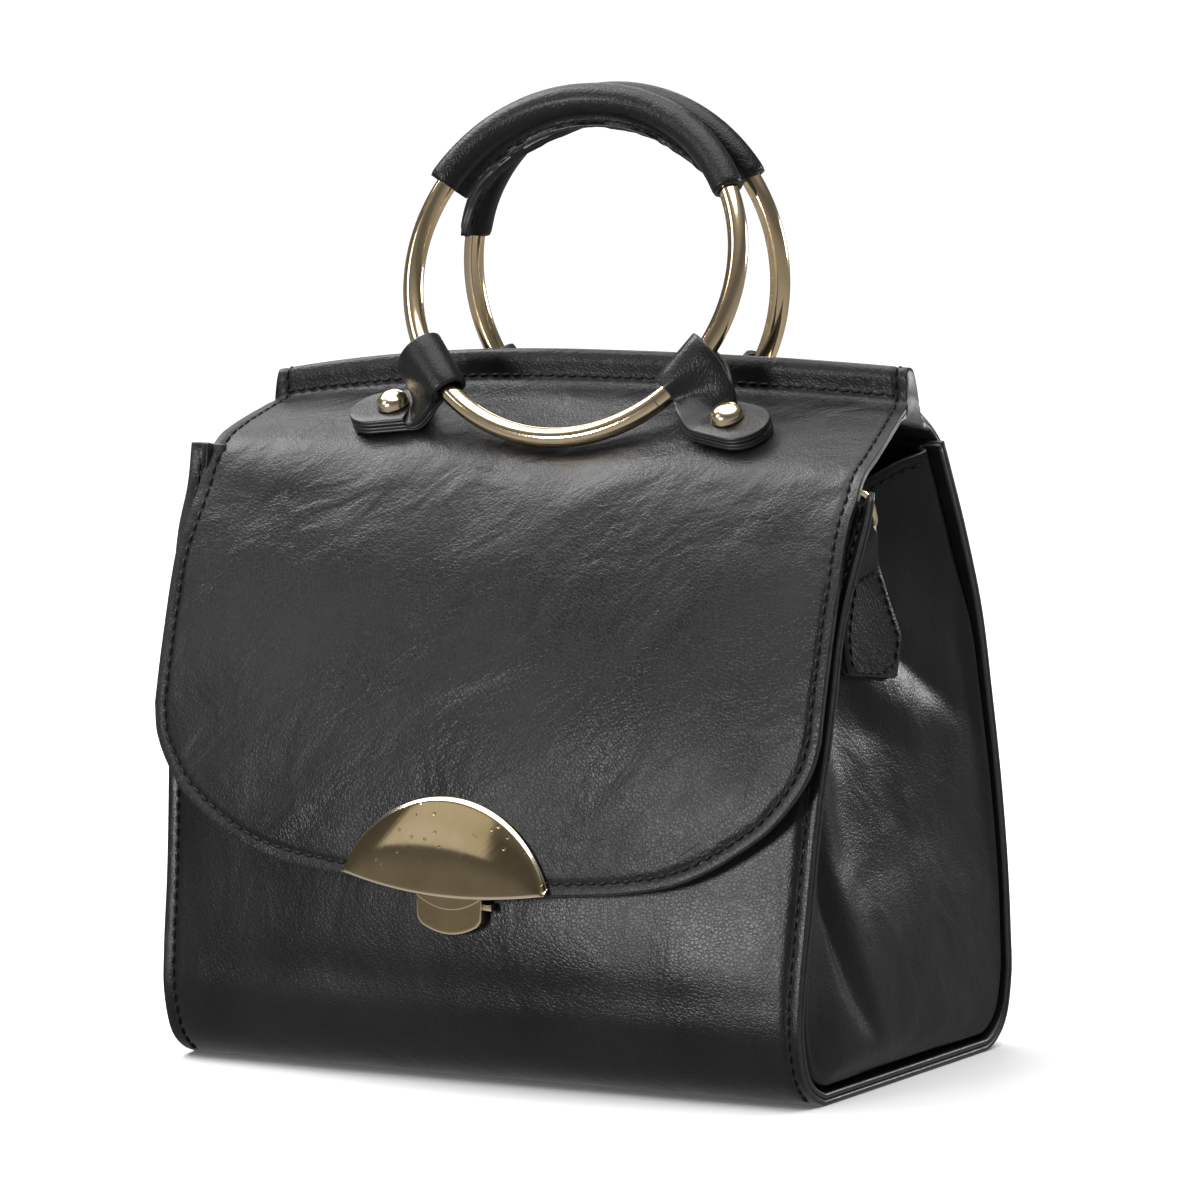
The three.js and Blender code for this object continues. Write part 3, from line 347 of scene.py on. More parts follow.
def sew(mesh, path, nrm, mats=(3, 4), pitch=PITCH, r=THREAD, start=1.2, finish=1.2, slant=0.10):
    """A row of stitches along a path: each a short bowed thread that dips below the surface at both ends, where a
    near-black disc is painted shade standing for the needle hole.
    """
    total = lengths(path)[-1]
    count = max(1, int(round((total - start - finish) / pitch)))
    step = (total - start - finish) / count
    mid = start + (np.arange(count) + 0.5) * step
    c, n = along(path, mid, nrm)
    a, b = along(path, mid - 0.3)[0], along(path, mid + 0.3)[0]
    d, n = unit(b - a), unit(n)
    side = unit(np.cross(n, d))
    d = unit(d * math.cos(slant) + side * math.sin(slant))
    side = unit(np.cross(n, d))
    long = step * 0.74
    st = np.array([-1, -0.88, -0.6, -0.25, 0.25, 0.6, 0.88, 1])
    high = np.array([-0.75, -0.1, 0.30, 0.42, 0.42, 0.30, -0.1, -0.75]) * r
    rad = np.array([0.62, 0.85, 1.0, 1.06, 1.06, 1.0, 0.85, 0.62]) * r
    ang = np.arange(7) / 7 * 2 * math.pi
    faces = grid_faces(8, 7, close_v=True)
    faces += [tuple(range(6, -1, -1)), tuple(range(49, 56))]
    for k in range(count):
        ring = [c[k] + d[k] * (t * long / 2) + n[k] * h + (side[k] * np.cos(ang)[:, None] + n[k] * np.sin(ang)[:, None]) * w for t, h, w in zip(st, high, rad)]
        mesh.add(np.vstack(ring), faces, mats[0])
    # needle holes: a small near-black matte disc at each end, painted shade of the hole
    ends = start + np.arange(count + 1) * step
    c, n = along(path, ends, nrm)
    n = unit(n)
    e = unit(np.cross(n, unit(along(path, ends + 0.3)[0] - along(path, ends - 0.3)[0])))
    e2 = np.cross(n, e)
    ang = np.arange(9) / 9 * 2 * math.pi
    for k in range(count + 1):
        ring = c[k] + n[k] * 0.05 + (e[k] * np.cos(ang)[:, None] * 0.66 + e2[k] * np.sin(ang)[:, None] * 0.80)
        mesh.add(np.vstack([ring, c[k] + n[k] * 0.09]), [(j, (j + 1) % 9, 9) for j in range(9)], mats[1])


# ---------------------------------------------------------------- materials
def nodes_of(name):
    m = bpy.data.materials.new(name)
    m.use_nodes = True
    nt = m.node_tree
    return m, nt, nt.nodes["Principled BSDF"]


def node(nt, kind, **values):
    x = nt.nodes.new(kind)
    for k, v in values.items():
        if k in x.inputs:
            x.inputs[k].default_value = v
        else:
            setattr(x, k, v)
    return x


def ramp(nt, source, low, high, a, b):
    x = node(nt, "ShaderNodeMapRange")
    x.inputs["From Min"].default_value, x.inputs["From Max"].default_value = low, high
    x.inputs["To Min"].default_value, x.inputs["To Max"].default_value = a, b
    nt.links.new(source, x.inputs["Value"])
    return x.outputs["Result"]


def place(nt, scale, rotation):
    """The object's own coordinates, turned and then stretched."""
    co = node(nt, "ShaderNodeTexCoord")
    first, then = node(nt, "ShaderNodeMapping"), node(nt, "ShaderNodeMapping")
    first.inputs["Rotation"].default_value = rotation
    then.inputs["Scale"].default_value = scale
    nt.links.new(co.outputs["Object"], first.inputs["Vector"])
    nt.links.new(first.outputs["Vector"], then.inputs["Vector"])
    return then.outputs["Vector"]


def spread(nt, scale, rotation=(0, 0, 0), detail=3.0, rough=0.55, size=1.0, warp=0.0):
    """Noise on the object's own coordinates, stretched and turned."""
    x = node(nt, "ShaderNodeTexNoise", Scale=size, Detail=detail, Roughness=rough, Distortion=warp)
    nt.links.new(place(nt, scale, rotation), x.inputs["Vector"])
    return x.outputs["Fac"]


def cells(nt, size, scale=(1, 1, 1), rotation=(0, 0, 0), feature="DISTANCE_TO_EDGE"):
    x = node(nt, "ShaderNodeTexVoronoi", feature=feature)
    x.inputs["Scale"].default_value = size
    nt.links.new(place(nt, scale, rotation), x.inputs["Vector"])
    return x.outputs["Distance"]


def join_bumps(nt, bsdf, list_of):
    """Bumps on top of each other: (height, distance in metres, strength)."""
    last = None
    for height, distance, strength in list_of:
        b = node(nt, "ShaderNodeBump", Distance=distance, Strength=strength)
        nt.links.new(height, b.inputs["Height"])
        if last:
            nt.links.new(last, b.inputs["Normal"])
        last = b.outputs["Normal"]
    nt.links.new(last, bsdf.inputs["Normal"])


def tint(nt, bsdf, fac, dark, light):
    x = node(nt, "ShaderNodeMix", data_type="RGBA")
    x.inputs["A"].default_value = (*dark, 1)
    x.inputs["B"].default_value = (*light, 1)
    nt.links.new(fac, x.inputs["Factor"])
    nt.links.new(x.outputs["Result"], bsdf.inputs["Base Color"])


def leather(name, dark, light, rough, creases=0.5, turn=(0, 0.7, 0), grain=1.0, coat=0.05, coat_rough=0.25):
    """Smooth calf leather: fine cell-shaped grain, short irregular creases along one way of the hide, cloudy sheen."""
    m, nt, b = nodes_of(name)
    cloud = spread(nt, (17, 17, 24), rotation=turn, detail=4, warp=0.4)
    tint(nt, b, ramp(nt, cloud, 0.3, 0.7, 0, 1), dark, light)
    fine = cells(nt, 820, scale=(1, 1, 0.8), rotation=turn)
    pores = spread(nt, (2300, 2300, 2300), detail=2, rough=0.6)
    warped = node(nt, "ShaderNodeTexNoise", Scale=60.0, Detail=3.0, Roughness=0.6)
    co = place(nt, (1, 1, 1), turn)
    nt.links.new(co, warped.inputs["Vector"])
    add = node(nt, "ShaderNodeMix", data_type="VECTOR")
    add.inputs["Factor"].default_value = 0.018
    nt.links.new(co, add.inputs["A"])
    nt.links.new(warped.outputs["Color"], add.inputs["B"])
    lines = []
    for size, long in ((120.0, (0.36, 1, 1)), (310.0, (0.5, 1, 1))):
        st = node(nt, "ShaderNodeMapping")
        st.inputs["Scale"].default_value = long
        nt.links.new(add.outputs["Result"], st.inputs["Vector"])
        x = node(nt, "ShaderNodeTexVoronoi", feature="DISTANCE_TO_EDGE")
        x.inputs["Scale"].default_value = size
        nt.links.new(st.outputs["Vector"], x.inputs["Vector"])
        soft_ = node(nt, "ShaderNodeMapRange", interpolation_type="SMOOTHSTEP")
        soft_.inputs["From Max"].default_value = 0.26
        nt.links.new(x.outputs["Distance"], soft_.inputs["Value"])
        lines.append(soft_.outputs["Result"])
    patch = ramp(nt, spread(nt, (30, 30, 30), detail=2), 0.42, 0.62, 0.15, 1)
    crease = node(nt, "ShaderNodeMath", operation="MULTIPLY")
    nt.links.new(lines[0], crease.inputs[0])
    nt.links.new(patch, crease.inputs[1])
    broad = spread(nt, (26, 50, 50), rotation=turn, detail=3, rough=0.5, warp=0.7)
    nt.links.new(ramp(nt, cloud, 0.3, 0.72, rough - 0.05, rough + 0.10), b.inputs["Roughness"])
    join_bumps(nt, b, [
        (broad, 0.0026, 0.62 * creases),
        (crease.outputs[0], 0.00020, 0.38 * creases),
        (lines[1], 0.00010, 0.30 * creases),
        (ramp(nt, fine, 0.0, 0.22, 0, 1), 0.00007, 1.0 * grain),
        (pores, 0.00005, 0.7 * grain),
    ])
    b.inputs["Specular IOR Level"].default_value = 0.24
    b.inputs["Coat Weight"].default_value = coat
    b.inputs["Coat Roughness"].default_value = coat_rough
    return m


def plain(name, dark, light, rough, bump=0.3, size=700):
    m, nt, b = nodes_of(name)
    cloud = spread(nt, (size, size, size), detail=3)
    tint(nt, b, ramp(nt, cloud, 0.3, 0.7, 0, 1), dark, light)
    nt.links.new(ramp(nt, cloud, 0.3, 0.7, rough - 0.06, rough + 0.08), b.inputs["Roughness"])
    join_bumps(nt, b, [(cloud, 0.00012, bump)])
    return m


def thread(name):
    m, nt, b = nodes_of(name)
    twist = spread(nt, (900, 900, 900), detail=1)
    tint(nt, b, twist, (0.0022, 0.0022, 0.0025), (0.0055, 0.0055, 0.0062))
    nt.links.new(ramp(nt, twist, 0.2, 0.8, 0.42, 0.62), b.inputs["Roughness"])
    b.inputs["Specular IOR Level"].default_value = 0.25
    join_bumps(nt, b, [(twist, 0.0002, 0.5)])
    return m


def metal(name, colour, deep, rough, scratch=0.3, pits=0.0):
    m, nt, b = nodes_of(name)
    cloud = spread(nt, (45, 45, 45), detail=3)
    tint(nt, b, ramp(nt, cloud, 0.35, 0.65, 0, 1), deep, colour)
    b.inputs["Metallic"].default_value = 1.0
    hair = spread(nt, (60, 60, 2600), rotation=(0.5, 0.9, 0.2), detail=2)
    bits = [(cloud, 0.0006, 0.05), (hair, 0.00002, 0.25 * scratch)]
    rough_out = ramp(nt, hair, 0.3, 0.75, rough - 0.02, rough + 0.05)
    if pits:
        spots = cells(nt, 260, feature="F1")
        dot = ramp(nt, spots, 0.10, 0.16, 0, 1)
        gate = ramp(nt, spread(nt, (75, 75, 75), detail=1), 0.50, 0.60, 0, 1)
        keep = node(nt, "ShaderNodeMath", operation="MAXIMUM")
        nt.links.new(dot, keep.inputs[0])
        inv = node(nt, "ShaderNodeMath", operation="SUBTRACT")
        inv.inputs[0].default_value = 1.0
        nt.links.new(gate, inv.inputs[1])
        nt.links.new(inv.outputs[0], keep.inputs[1])
        bits.append((keep.outputs[0], 0.00009, pits))
    nt.links.new(rough_out, b.inputs["Roughness"])
    join_bumps(nt, b, bits)
    return m


HIDE_FLAP = leather("leather_flap", (0.0050, 0.0050, 0.0056), (0.0090, 0.0090, 0.0098), 0.34, creases=0.9, turn=(0, 0.85, 0), grain=0.7)
HIDE_BODY = leather("leather_body", (0.0040, 0.0042, 0.0050), (0.0070, 0.0072, 0.0082), 0.33, creases=0.4, turn=(0, 1.5, 0), grain=0.55)
HIDE_SIDE = leather("leather_side", (0.0040, 0.0041, 0.0047), (0.0072, 0.0072, 0.0080), 0.32, creases=0.35, turn=(0.9, 0, 1.57), grain=0.5)
HIDE_STRAP = leather("leather_strap", (0.0045, 0.0045, 0.0050), (0.0085, 0.0085, 0.0090), 0.31, creases=0.3, turn=(0.3, 0.2, 0.4), grain=0.7, coat=0.12)
HIDE_WRAP = leather("leather_wrap", (0.0045, 0.0045, 0.0052), (0.0080, 0.0080, 0.0088), 0.33, creases=0.6, turn=(0.2, 0.4, 0.3), grain=1.0, coat=0.1)
EDGE = plain("edge_paint", (0.008, 0.008, 0.009), (0.016, 0.016, 0.017), 0.36, bump=0.5, size=420)
LINING = plain("inside_suede", (0.006, 0.006, 0.0065), (0.012, 0.0115, 0.011), 0.8, bump=0.5, size=1400)
THREAD_MAT = thread("black_thread")
# near-black matte colour of the needle-hole discs: painted shade of the holes
HOLE_SHADE = plain("needle_hole", (0.0015, 0.0015, 0.0015), (0.003, 0.003, 0.003), 0.85)
GOLD = metal("pale_gold_polished", (1.0, 0.80, 0.53), (0.92, 0.71, 0.43), 0.10, scratch=0.5)
# the plates' metal: the rings' pale gold darkened to olive, painted shade standing for the dim reflections in their
# flat faces
GOLD_PLATE_SHADED = metal("pale_gold_plate_painted_shade", (0.56, 0.44, 0.26), (0.46, 0.35, 0.19), 0.10, scratch=1.0, pits=0.8)
# a paler copy of the gold for the plates' bevelled edges and the lock pin: painted highlight along those edges
GOLD_RIM_HIGHLIGHT = metal("pale_gold_rim_painted_highlight", (1.0, 0.86, 0.66), (0.95, 0.79, 0.58), 0.14, scratch=0.2)
GOLD_RIVET = metal("pale_gold_rivet", (0.92, 0.77, 0.53), (0.82, 0.67, 0.43), 0.16, scratch=0.4)
DARK = plain("joint_line", (0.02, 0.015, 0.01), (0.03, 0.02, 0.015), 0.6)
SKIN = [HIDE_BODY, EDGE, LINING, THREAD_MAT, HOLE_SHADE]

# ---------------------------------------------------------------- wrapped body panel
_r = catmull([(w, y, z) for y, z, w in PROFILE])
_rs = lengths(_r)
ROUTE_LEN = _rs[-1]
_rs = _rs / ROUTE_LEN
swell_front, swell_back = column(SWELL, 0, 1), column(SWELL, 0, 2)


def route_at(s):
    return np.stack([np.interp(s, _rs, _r[:, k]) for k in range(3)], -1)


def panel(s, xh, out=0.0):
    """Outer face of the panel: s from the front top (0) round the bottom to the back top (1), xh across from -1 to 1."""
    s, xh = np.broadcast_arrays(np.asarray(s, float), np.asarray(xh, float))
    p = route_at(s)
    front = s < 0.5
    inset = (1 - np.abs(xh)) * p[..., 0]
    edge = np.where(xh < 0, 1 - ease(RIM + 1.9, RIM + 2.9, inset), np.clip(1 - inset / RIM, 0, 1))
    deep = ease(RIM, 30, inset)
    drop = mix(mix(np.where(xh < 0, 10.5, 13.5), 17, deep), np.where(xh < 0, 1, 8.5), edge) * ease(140, 204, p[..., 2])
    s = np.where(front, np.minimum(s + drop / ROUTE_LEN, 0.5), s)
    p = route_at(s)
    t = route_at(np.clip(s + 1e-3, 0, 1)) - route_at(np.clip(s - 1e-3, 0, 1))
    n = unit(np.stack([np.zeros_like(s), t[..., 2], -t[..., 1]], -1))
    lift = out + np.where(front, swell_front(p[..., 2]), swell_back(p[..., 2])) * (1 - np.abs(xh) ** 2.2)
    q = np.stack([xh * p[..., 0], p[..., 1], np.maximum(0, p[..., 2])], -1) + n * lift[..., None]
    q[..., 1] += np.where(front, mix(4.3, 5.2, deep) * (1 - edge) * ease(138, 182, p[..., 2]), 0)
    low = (p[..., 2] < 0.6) & (np.asarray(out) <= 0)
    q[..., 2] = np.where(low, max(0.0, -float(np.max(out))), q[..., 2])
    return q, n


S_MID = float(np.interp(0, _r[:, 1][(_r[:, 2] < 0.5)], _rs[(_r[:, 2] < 0.5)]))
_half = np.linspace(0, 1, 106)
S_ROWS = np.concatenate([_half * S_MID, mix(S_MID, 1, _half[1:])])
INSETS = np.array([0, 0.45, 0.9, 1.5, 2.1, 2.7, 3.2, 3.7, 4.2, 4.6, 4.85, 5.1, 5.35, 5.6, 6.1, 6.6, 6.9, 7.2, 7.6, 8.4, 10, 12.5, 15.5, 19, 23.5, 28, 34, 41, 49, 58, 68, 79, 91, 104])


def panel_grid(s_rows, out=0.0):
    rows = []
    for s in s_rows:
        w = route_at(s)[0]
        h = (w - INSETS) / w
        rows.append(np.concatenate([-h, [0], h[::-1]]))
    xh = np.array(rows)
    return panel(np.broadcast_to(np.array(s_rows)[:, None], xh.shape), xh, out) + (xh,)


P, N, XH = panel_grid(S_ROWS)
shape = P.shape[:2]
inset = (1 - np.abs(XH)) * 121
body_p, body_n = P.reshape(-1, 3), N.reshape(-1, 3)
front_side = (P[..., 1] < 0).reshape(-1)
free = ease(5, 34, inset).reshape(-1) * ease(3, 24, body_p[:, 2]) * np.where(front_side, ease(206, 178, body_p[:, 2]), ease(180, 150, body_p[:, 2]))
# slack in the leather, a long press line above the heels, and the pull of the seams
slack = 0.75 * fbm(body_p * (1, 0.4, 1), 62, 3, 3) + 0.22 * fbm(body_p * (1, 0.4, 0.55), 15, 2, 9)
heel = -0.5 * np.exp(-(((body_p[:, 2] - 33 - 1.5 * noise(body_p, 60, 5)) / 6.0) ** 2)) * ease(10, 50, inset.reshape(-1))
body_p = body_p + body_n * ((slack * free) + heel * ease(4, 24, body_p[:, 2]))[:, None]
pull = 0.16 * np.cos(2 * math.pi * np.repeat(S_ROWS * ROUTE_LEN / PITCH, shape[1])) * np.exp(-(((inset.reshape(-1) - 3.7) / 1.6) ** 2))
body_p = body_p - body_n * (np.abs(pull) * ease(1, 8, body_p[:, 2]))[:, None]
roll = -0.55 * np.exp(-(((inset.reshape(-1) - 4.0) / 1.7) ** 2)) * ease(0.3, 6, body_p[:, 2] + 0.2)
body_p = body_p + body_n * roll[:, None]
body_p[:, 2] = np.maximum(body_p[:, 2], 0)
faces = grid_faces(*shape)
nn = point_normals(body_p, faces)
if (nn * body_n).sum() < 0:
    faces = [f[::-1] for f in faces]
    nn = -nn
body_mesh = Mesh()
shell(body_mesh, body_p, faces, nn, WALL, rim=0.5, back=(P - N * WALL).reshape(-1, 3), groove=0.25)
body_tree = surface_tree(body_p, faces)
# seams down both sides of the front, under the bottom and up the back
for sign in (-1, 1):
    rows = S_ROWS[1:-1]
    w = route_at(rows)[:, 0]
    path = panel(rows, sign * (w - EDGE_STITCH) / w)[0]
    path, nrm = snapped(body_tree, along(path, np.arange(0, lengths(path)[-1], 1.2))[0])
    keep = path[:, 2] > 1.2
    for part in (slice(0, int(np.argmin(keep))), slice(len(keep) - int(np.argmin(keep[::-1])), None)):
        if len(path[part]) > 4:
            sew(body_mesh, path[part], nrm[part], start=3, finish=1)
body = body_mesh.build("body_shell", "bag", "body_leather", ["body_panel"], SKIN)

# ---------------------------------------------------------------- side panels
fold_depth = column(FOLD, 0, 1)
front_y = column([r for r in PROFILE if r[0] < 0 and r[1] >= 8], 1, 0)
back_y = column([r for r in PROFILE if r[0] > 0 and r[1] >= 8], 1, 0)
half_w = column([r for r in PROFILE if r[0] > 0 and r[1] >= 8], 1, 2)


def side_x(y, z, edge):
    y, z, edge = np.broadcast_arrays(*(np.asarray(v, float) for v in (y, z, edge)))
    u = np.clip((y - front_y(z)) / (back_y(z) - front_y(z)), 0, 1)
    shape_ = np.where(u < 0.22, ease(0, 0.22, u), 1 - np.clip((u - 0.22) / 0.78, 0, 1) ** 1.3)
    tight = np.sin(np.pi / 2 * np.clip((edge - 4.6) / 2.6, 0, 1)) ** 0.8
    roll_ = mix(tight, 0.6 * tight + 0.4 * ease(4, 15, edge), ease(135, 172, z))
    return half_w(z) - SEAM - 0.4 + 6.0 * roll_ - fold_depth(z) * shape_ * ease(5, 15, edge)


# creases of the side panel: points (y, z), width, depth; below zero it stands out
CREASES = [
    ([(-47, 168), (-49, 140), (-53, 112), (-55, 86), (-52, 64), (-45, 46), (-35, 30), (-27, 20)], 4.6, 3.4),
    ([(-39, 150), (-40, 128), (-43, 106), (-44, 84), (-40, 62), (-31, 44)], 7.0, -1.6),
    ([(-18, 150), (-6, 144), (8, 138), (24, 128), (42, 116)], 5.2, 2.2),
    ([(-20, 136), (-8, 129), (8, 120), (22, 108)], 9.0, -1.6),
    ([(-30, 184), (-33, 160), (-36, 140)], 3.4, 0.7),
    ([(30, 190), (33, 168), (39, 142), (48, 112), (54, 84)], 4.2, 0.8),
]


def line_distance(y, z, pts):
    path = catmull([(a, b, 0) for a, b in pts], 14)
    q = np.stack([y, z], -1).reshape(-1, 1, 2)
    out, where = [], []
    for k in range(0, len(q), 4000):
        d = np.linalg.norm(q[k:k + 4000] - path[None, :, :2], axis=-1)
        out.append(d.min(1))
        where.append(d.argmin(1) / (len(path) - 1))
    return np.concatenate(out), np.concatenate(where)


DEPTHS = [0, 0.012, 0.03, 0.055, 0.10, 0.18, 0.3, 0.48, 0.7, 0.86, 1]


def side_rows(right):
    sg = 1 if right else -1
    rows = []
    for s in S_ROWS:
        w = route_at(s)[0]
        h = abs(s - S_MID) / (S_MID if s < S_MID else 1 - S_MID)
        cz = mix(42, 193, h ** 1.15)
        cy = mix(0, -9, ease(60, 200, cz))
        pts = []
        for i in (0.0, 1.6, 3.2, RIM):
            q, n = panel(s, sg * (w - i) / w)
            pts.append(q - n * (2 * WALL + 0.12))
        for i, d in ((SEAM - 0.9, 0.12), (SEAM - 0.2, 0.45)):
            q, n = panel(s, sg * (w - i) / w)
            pts.append(np.array([sg * (w - i), q[1], q[2]]) - n * (2 * WALL + 0.12 + d))
        a = pts[-1]
        for t in DEPTHS[1:]:
            y, z = mix(a[1], cy, t), mix(a[2], cz, t)
            edge = 4.6 + t * math.hypot(cy - a[1], cz - a[2])
            pts.append(np.array([sg * float(side_x(y, z, edge)), y, z]))
        rows.append(pts)
    return rows


def side_panel(right):
    sg = 1 if right else -1
    rows = side_rows(right)
    at = np.concatenate([np.linspace(0, 5, 14)[:-1], np.linspace(5, 9, 18)[:-1], np.linspace(9, 15, 38)])
    p = []
    for r in rows:
        c = catmull(r, 20)
        u = np.linspace(0, len(r) - 1, len(c))
        p.append(np.stack([np.interp(at, u, c[:, k]) for k in range(3)], -1))
    p = np.array(p)
    # the true surface away from the seam
    n_half = len(S_ROWS) // 2
    for i in range(n_half):
        p[len(S_ROWS) - 1 - i, -1] = p[i, -1]
    nu, nv = p.shape[:2]
    faces = grid_faces(nu, nv)
    q, faces, back = welded(p.reshape(-1, 3), faces)
    n = point_normals(q, faces)
    if (n[:, 0] * sg).sum() < 0:
        faces = [f[::-1] for f in faces]
        n = -n
    # smooth the long centre line a little, then fold and crease
    inner = np.zeros(len(q))
    dist = np.repeat(at[None], nu, 0).reshape(-1)
    inner[back] = dist
    soft, calm = ease(7.5, 9.5, inner), ease(10.6, 12.4, inner)
    for _ in range(14):
        acc, cnt = np.zeros_like(q), np.zeros(len(q))
        f4 = np.array([f if len(f) == 4 else (f[0], f[1], f[2], f[2]) for f in faces])
        for a, b in ((0, 1), (1, 2), (2, 3), (3, 0)):
            np.add.at(acc, f4[:, a], q[f4[:, b]])
            np.add.at(cnt, f4[:, a], 1)
            np.add.at(acc, f4[:, b], q[f4[:, a]])
            np.add.at(cnt, f4[:, b], 1)
        edge_free = calm * (q[:, 2] < 190)
        q = q + (acc / cnt[:, None] - q) * (0.5 * edge_free)[:, None]
    push = np.zeros(len(q))
    for k, (pts, width, depth) in enumerate(CREASES):
        d, t = line_distance(q[:, 1], q[:, 2], pts)
        width_here = width * (1 + 0.3 * noise(q, 30, 40 + k))
        push -= depth * np.exp(-((d / width_here) ** 2)) * np.sin(np.pi * np.clip(t * 0.92 + 0.04, 0, 1)) ** 0.7
    push += 0.9 * fbm(q, 52, 3, 21) + 0.10 * fbm(q, 9, 2, 31)
    q = q + n * (push * soft)[:, None]
    n = point_normals(q, faces)
    mesh = Mesh()
    shell(mesh, q, faces, n, WALL - 0.1, rim=0.45, groove=0.2)
    # stitched top hem
    top = np.vstack([p[0], p[-1][::-1]])
    tree = surface_tree(q, faces)
    top = top[(np.abs(top[:, 0]) < 121)]
    path, nrm = snapped(tree, along(top, np.arange(6, lengths(top)[-1] - 6, 1.2))[0] - (0, 0, EDGE_STITCH))
    sew(mesh, path, nrm)
    return mesh.build("side_shell_" + ("right" if right else "left"), "bag", "body_leather", ["gusset_right" if right else "gusset_left"], [HIDE_SIDE, EDGE, LINING, THREAD_MAT, HOLE_SHADE])


side_panel(False)
side_panel(True)

# ---------------------------------------------------------------- flap
fall_edge, fall_mid = column(FALL, 0, 1), column(FALL, 0, 2)
_hem = catmull([(x, z, 0) for x, z in HEM], 200)
_hem_t = np.linspace(0, 1, len(_hem))


def hem_point(xh):
    t = 1 - np.abs(xh)
    x, z = np.interp(t, _hem_t, _hem[:, 0]), np.interp(t, _hem_t, _hem[:, 1])
    return np.sign(xh) * x, z - HEM_LEAN * np.sign(xh) * np.sin(np.pi * x / HEM[0][0])


def s_back(z):
    m = (_rs > 0.7)
    return float(np.interp(z, _r[m][:, 2], _rs[m]))


def dip_at(dip, x):
    return dip * math.exp(-(((x - DIP_X) / DIP_HALF) ** 2))


def flap_row(xh):
    ex, ez = (float(v) for v in hem_point(xh))
    f = ex / HEM[0][0]
    left = f < 0
    k = abs(f) ** 2.2
    pts = [panel(s_back(z), f * 0.976, FLAP + GAP)[0] for z in (190, 198, 205.5)]
    for yL, zL, wL, yC, zC, yR, zR, wR, dip in FLAP_TOP:
        w, y, z = (wL, yL, zL) if left else (wR, yR, zR)
        pts.append(np.array([f * w, mix(yC, y, k), mix(zC, z, k) - dip_at(dip, f * w)]))
    z0 = mix(184, 189 if left else 187, abs(f) ** 2)
    for v in (0, 0.13, 0.28, 0.44, 0.6, 0.75, 0.88, 1):
        z = mix(z0, ez, v)
        w = mix(123.3 if left else 123.5, 125.2, float(ease(187, 165, z)))
        pts.append(np.array([f * w, mix(float(fall_mid(z)), float(fall_edge(z)), abs(f) ** 2.4), z]))
    return pts


_c = np.concatenate([np.linspace(1, 0.80, 34)[:-1], np.linspace(0.80, 0.62, 14)[:-1], np.linspace(0.62, 0, 34)])
XS = np.concatenate([-_c, _c[::-1][1:]])
_v = [np.linspace(0, 2, 9)[:-1], np.linspace(2, 3, 8)[:-1], np.linspace(3, 10, 64)[:-1], np.linspace(10, 15, 32)[:-1], np.linspace(15, 22, 30)[:-1]]
_v.append(22 + np.array([0, 0.12, 0.22, 0.31, 0.39, 0.46, 0.52, 0.58, 0.635, 0.69, 0.745, 0.80, 0.855, 0.91, 0.96, 1.0]))
_v = np.concatenate(_v)
_v = _v / 23 * (len(flap_row(0.3)) - 1) if len(flap_row(0.3)) - 1 != 23 else _v
grid = []
for xh in XS:
    r = flap_row(xh)
    c = catmull(r, 24)
    u = np.linspace(0, len(r) - 1, len(c))
    grid.append(np.stack([np.interp(_v, u, c[:, k]) for k in range(3)], -1))
grid = np.array(grid)
nu, nv = grid.shape[:2]
flap_p = grid.reshape(-1, 3)
faces = grid_faces(nu, nv)
flap_n = point_normals(flap_p, faces)
if flap_n[(nu // 2) * nv + nv - 10][1] > 0:
    faces = [f[::-1] for f in faces]
    flap_n = -flap_n
rest_p, rest_n = flap_p.copy(), flap_n.copy()
# the inner face: under the pinched ridge it runs straight across
inner = (flap_p - flap_n * FLAP).reshape(nu, nv, 3)
row_of = lambda k: int(np.argmin(np.abs(_v - k)))
a, b = row_of(3), row_of(10)
for j in range(a + 1, b):
    inner[:, j] = mix(inner[:, a], inner[:, b], (j - a) / (b - a))
inner = inner.reshape(-1, 3)

# how free the leather is: little on top, where the straps are riveted, more down the front
zz, yy, xx = flap_p[:, 2], flap_p[:, 1], flap_p[:, 0]
on_front = (yy < -30)
loose = np.where(on_front, ease(200, 172, zz), 0.0)
hemz = np.repeat(grid[:, -1, 2], nv)
to_hem = zz - hemz
to_side = 125.2 - np.abs(xx)
rim_fade = ease(3, 22, np.minimum(to_hem + 50 * ~on_front, to_side))
lean = math.radians(48)
u = xx * math.cos(lean) + zz * math.sin(lean)
v = -xx * math.sin(lean) + zz * math.cos(lean)
streak = np.stack([u / 4.2, v, yy * 0.2], -1)
diag = fbm(streak, 10.5, 3, 51)
ridged = (1 - np.abs(fbm(streak + 7.7, 13.0, 2, 61)) * 2.0)
where = ease(-0.35, 0.5, fbm(np.stack([xx, zz, yy * 0], -1), 75, 2, 71) + 0.35 * np.exp(-(((xx + 42) / 50) ** 2 + ((zz - 140) / 40) ** 2)))
big = fbm(np.stack([xx, zz * 0.8, yy * 0.3], -1), 70, 2, 81)
lift = loose * rim_fade * (0.30 * diag * (0.35 + where) + 0.16 * ridged * where + 1.05 * big)
# slack of the leather over the bend
over = np.exp(-(((yy + 34) / 10) ** 2)) * (zz > 185)
lift += over * rim_fade * 0.5 * fbm(np.stack([xx, yy * 0.5, zz * 0.5], -1), 34, 2, 91)
flap_p = flap_p + flap_n * lift[:, None]


def inward_line(grid_p, d):
    """Line round the sides and hem of the flap, at the edge itself, along its outer face; d is not used."""
    left, hem, right = grid_p[0], grid_p[:, -1], grid_p[-1][::-1]
    loop = np.vstack([left, hem[1:-1], right])
    loop = along(loop, np.arange(0, lengths(loop)[-1], 0.8))[0]
    return loop


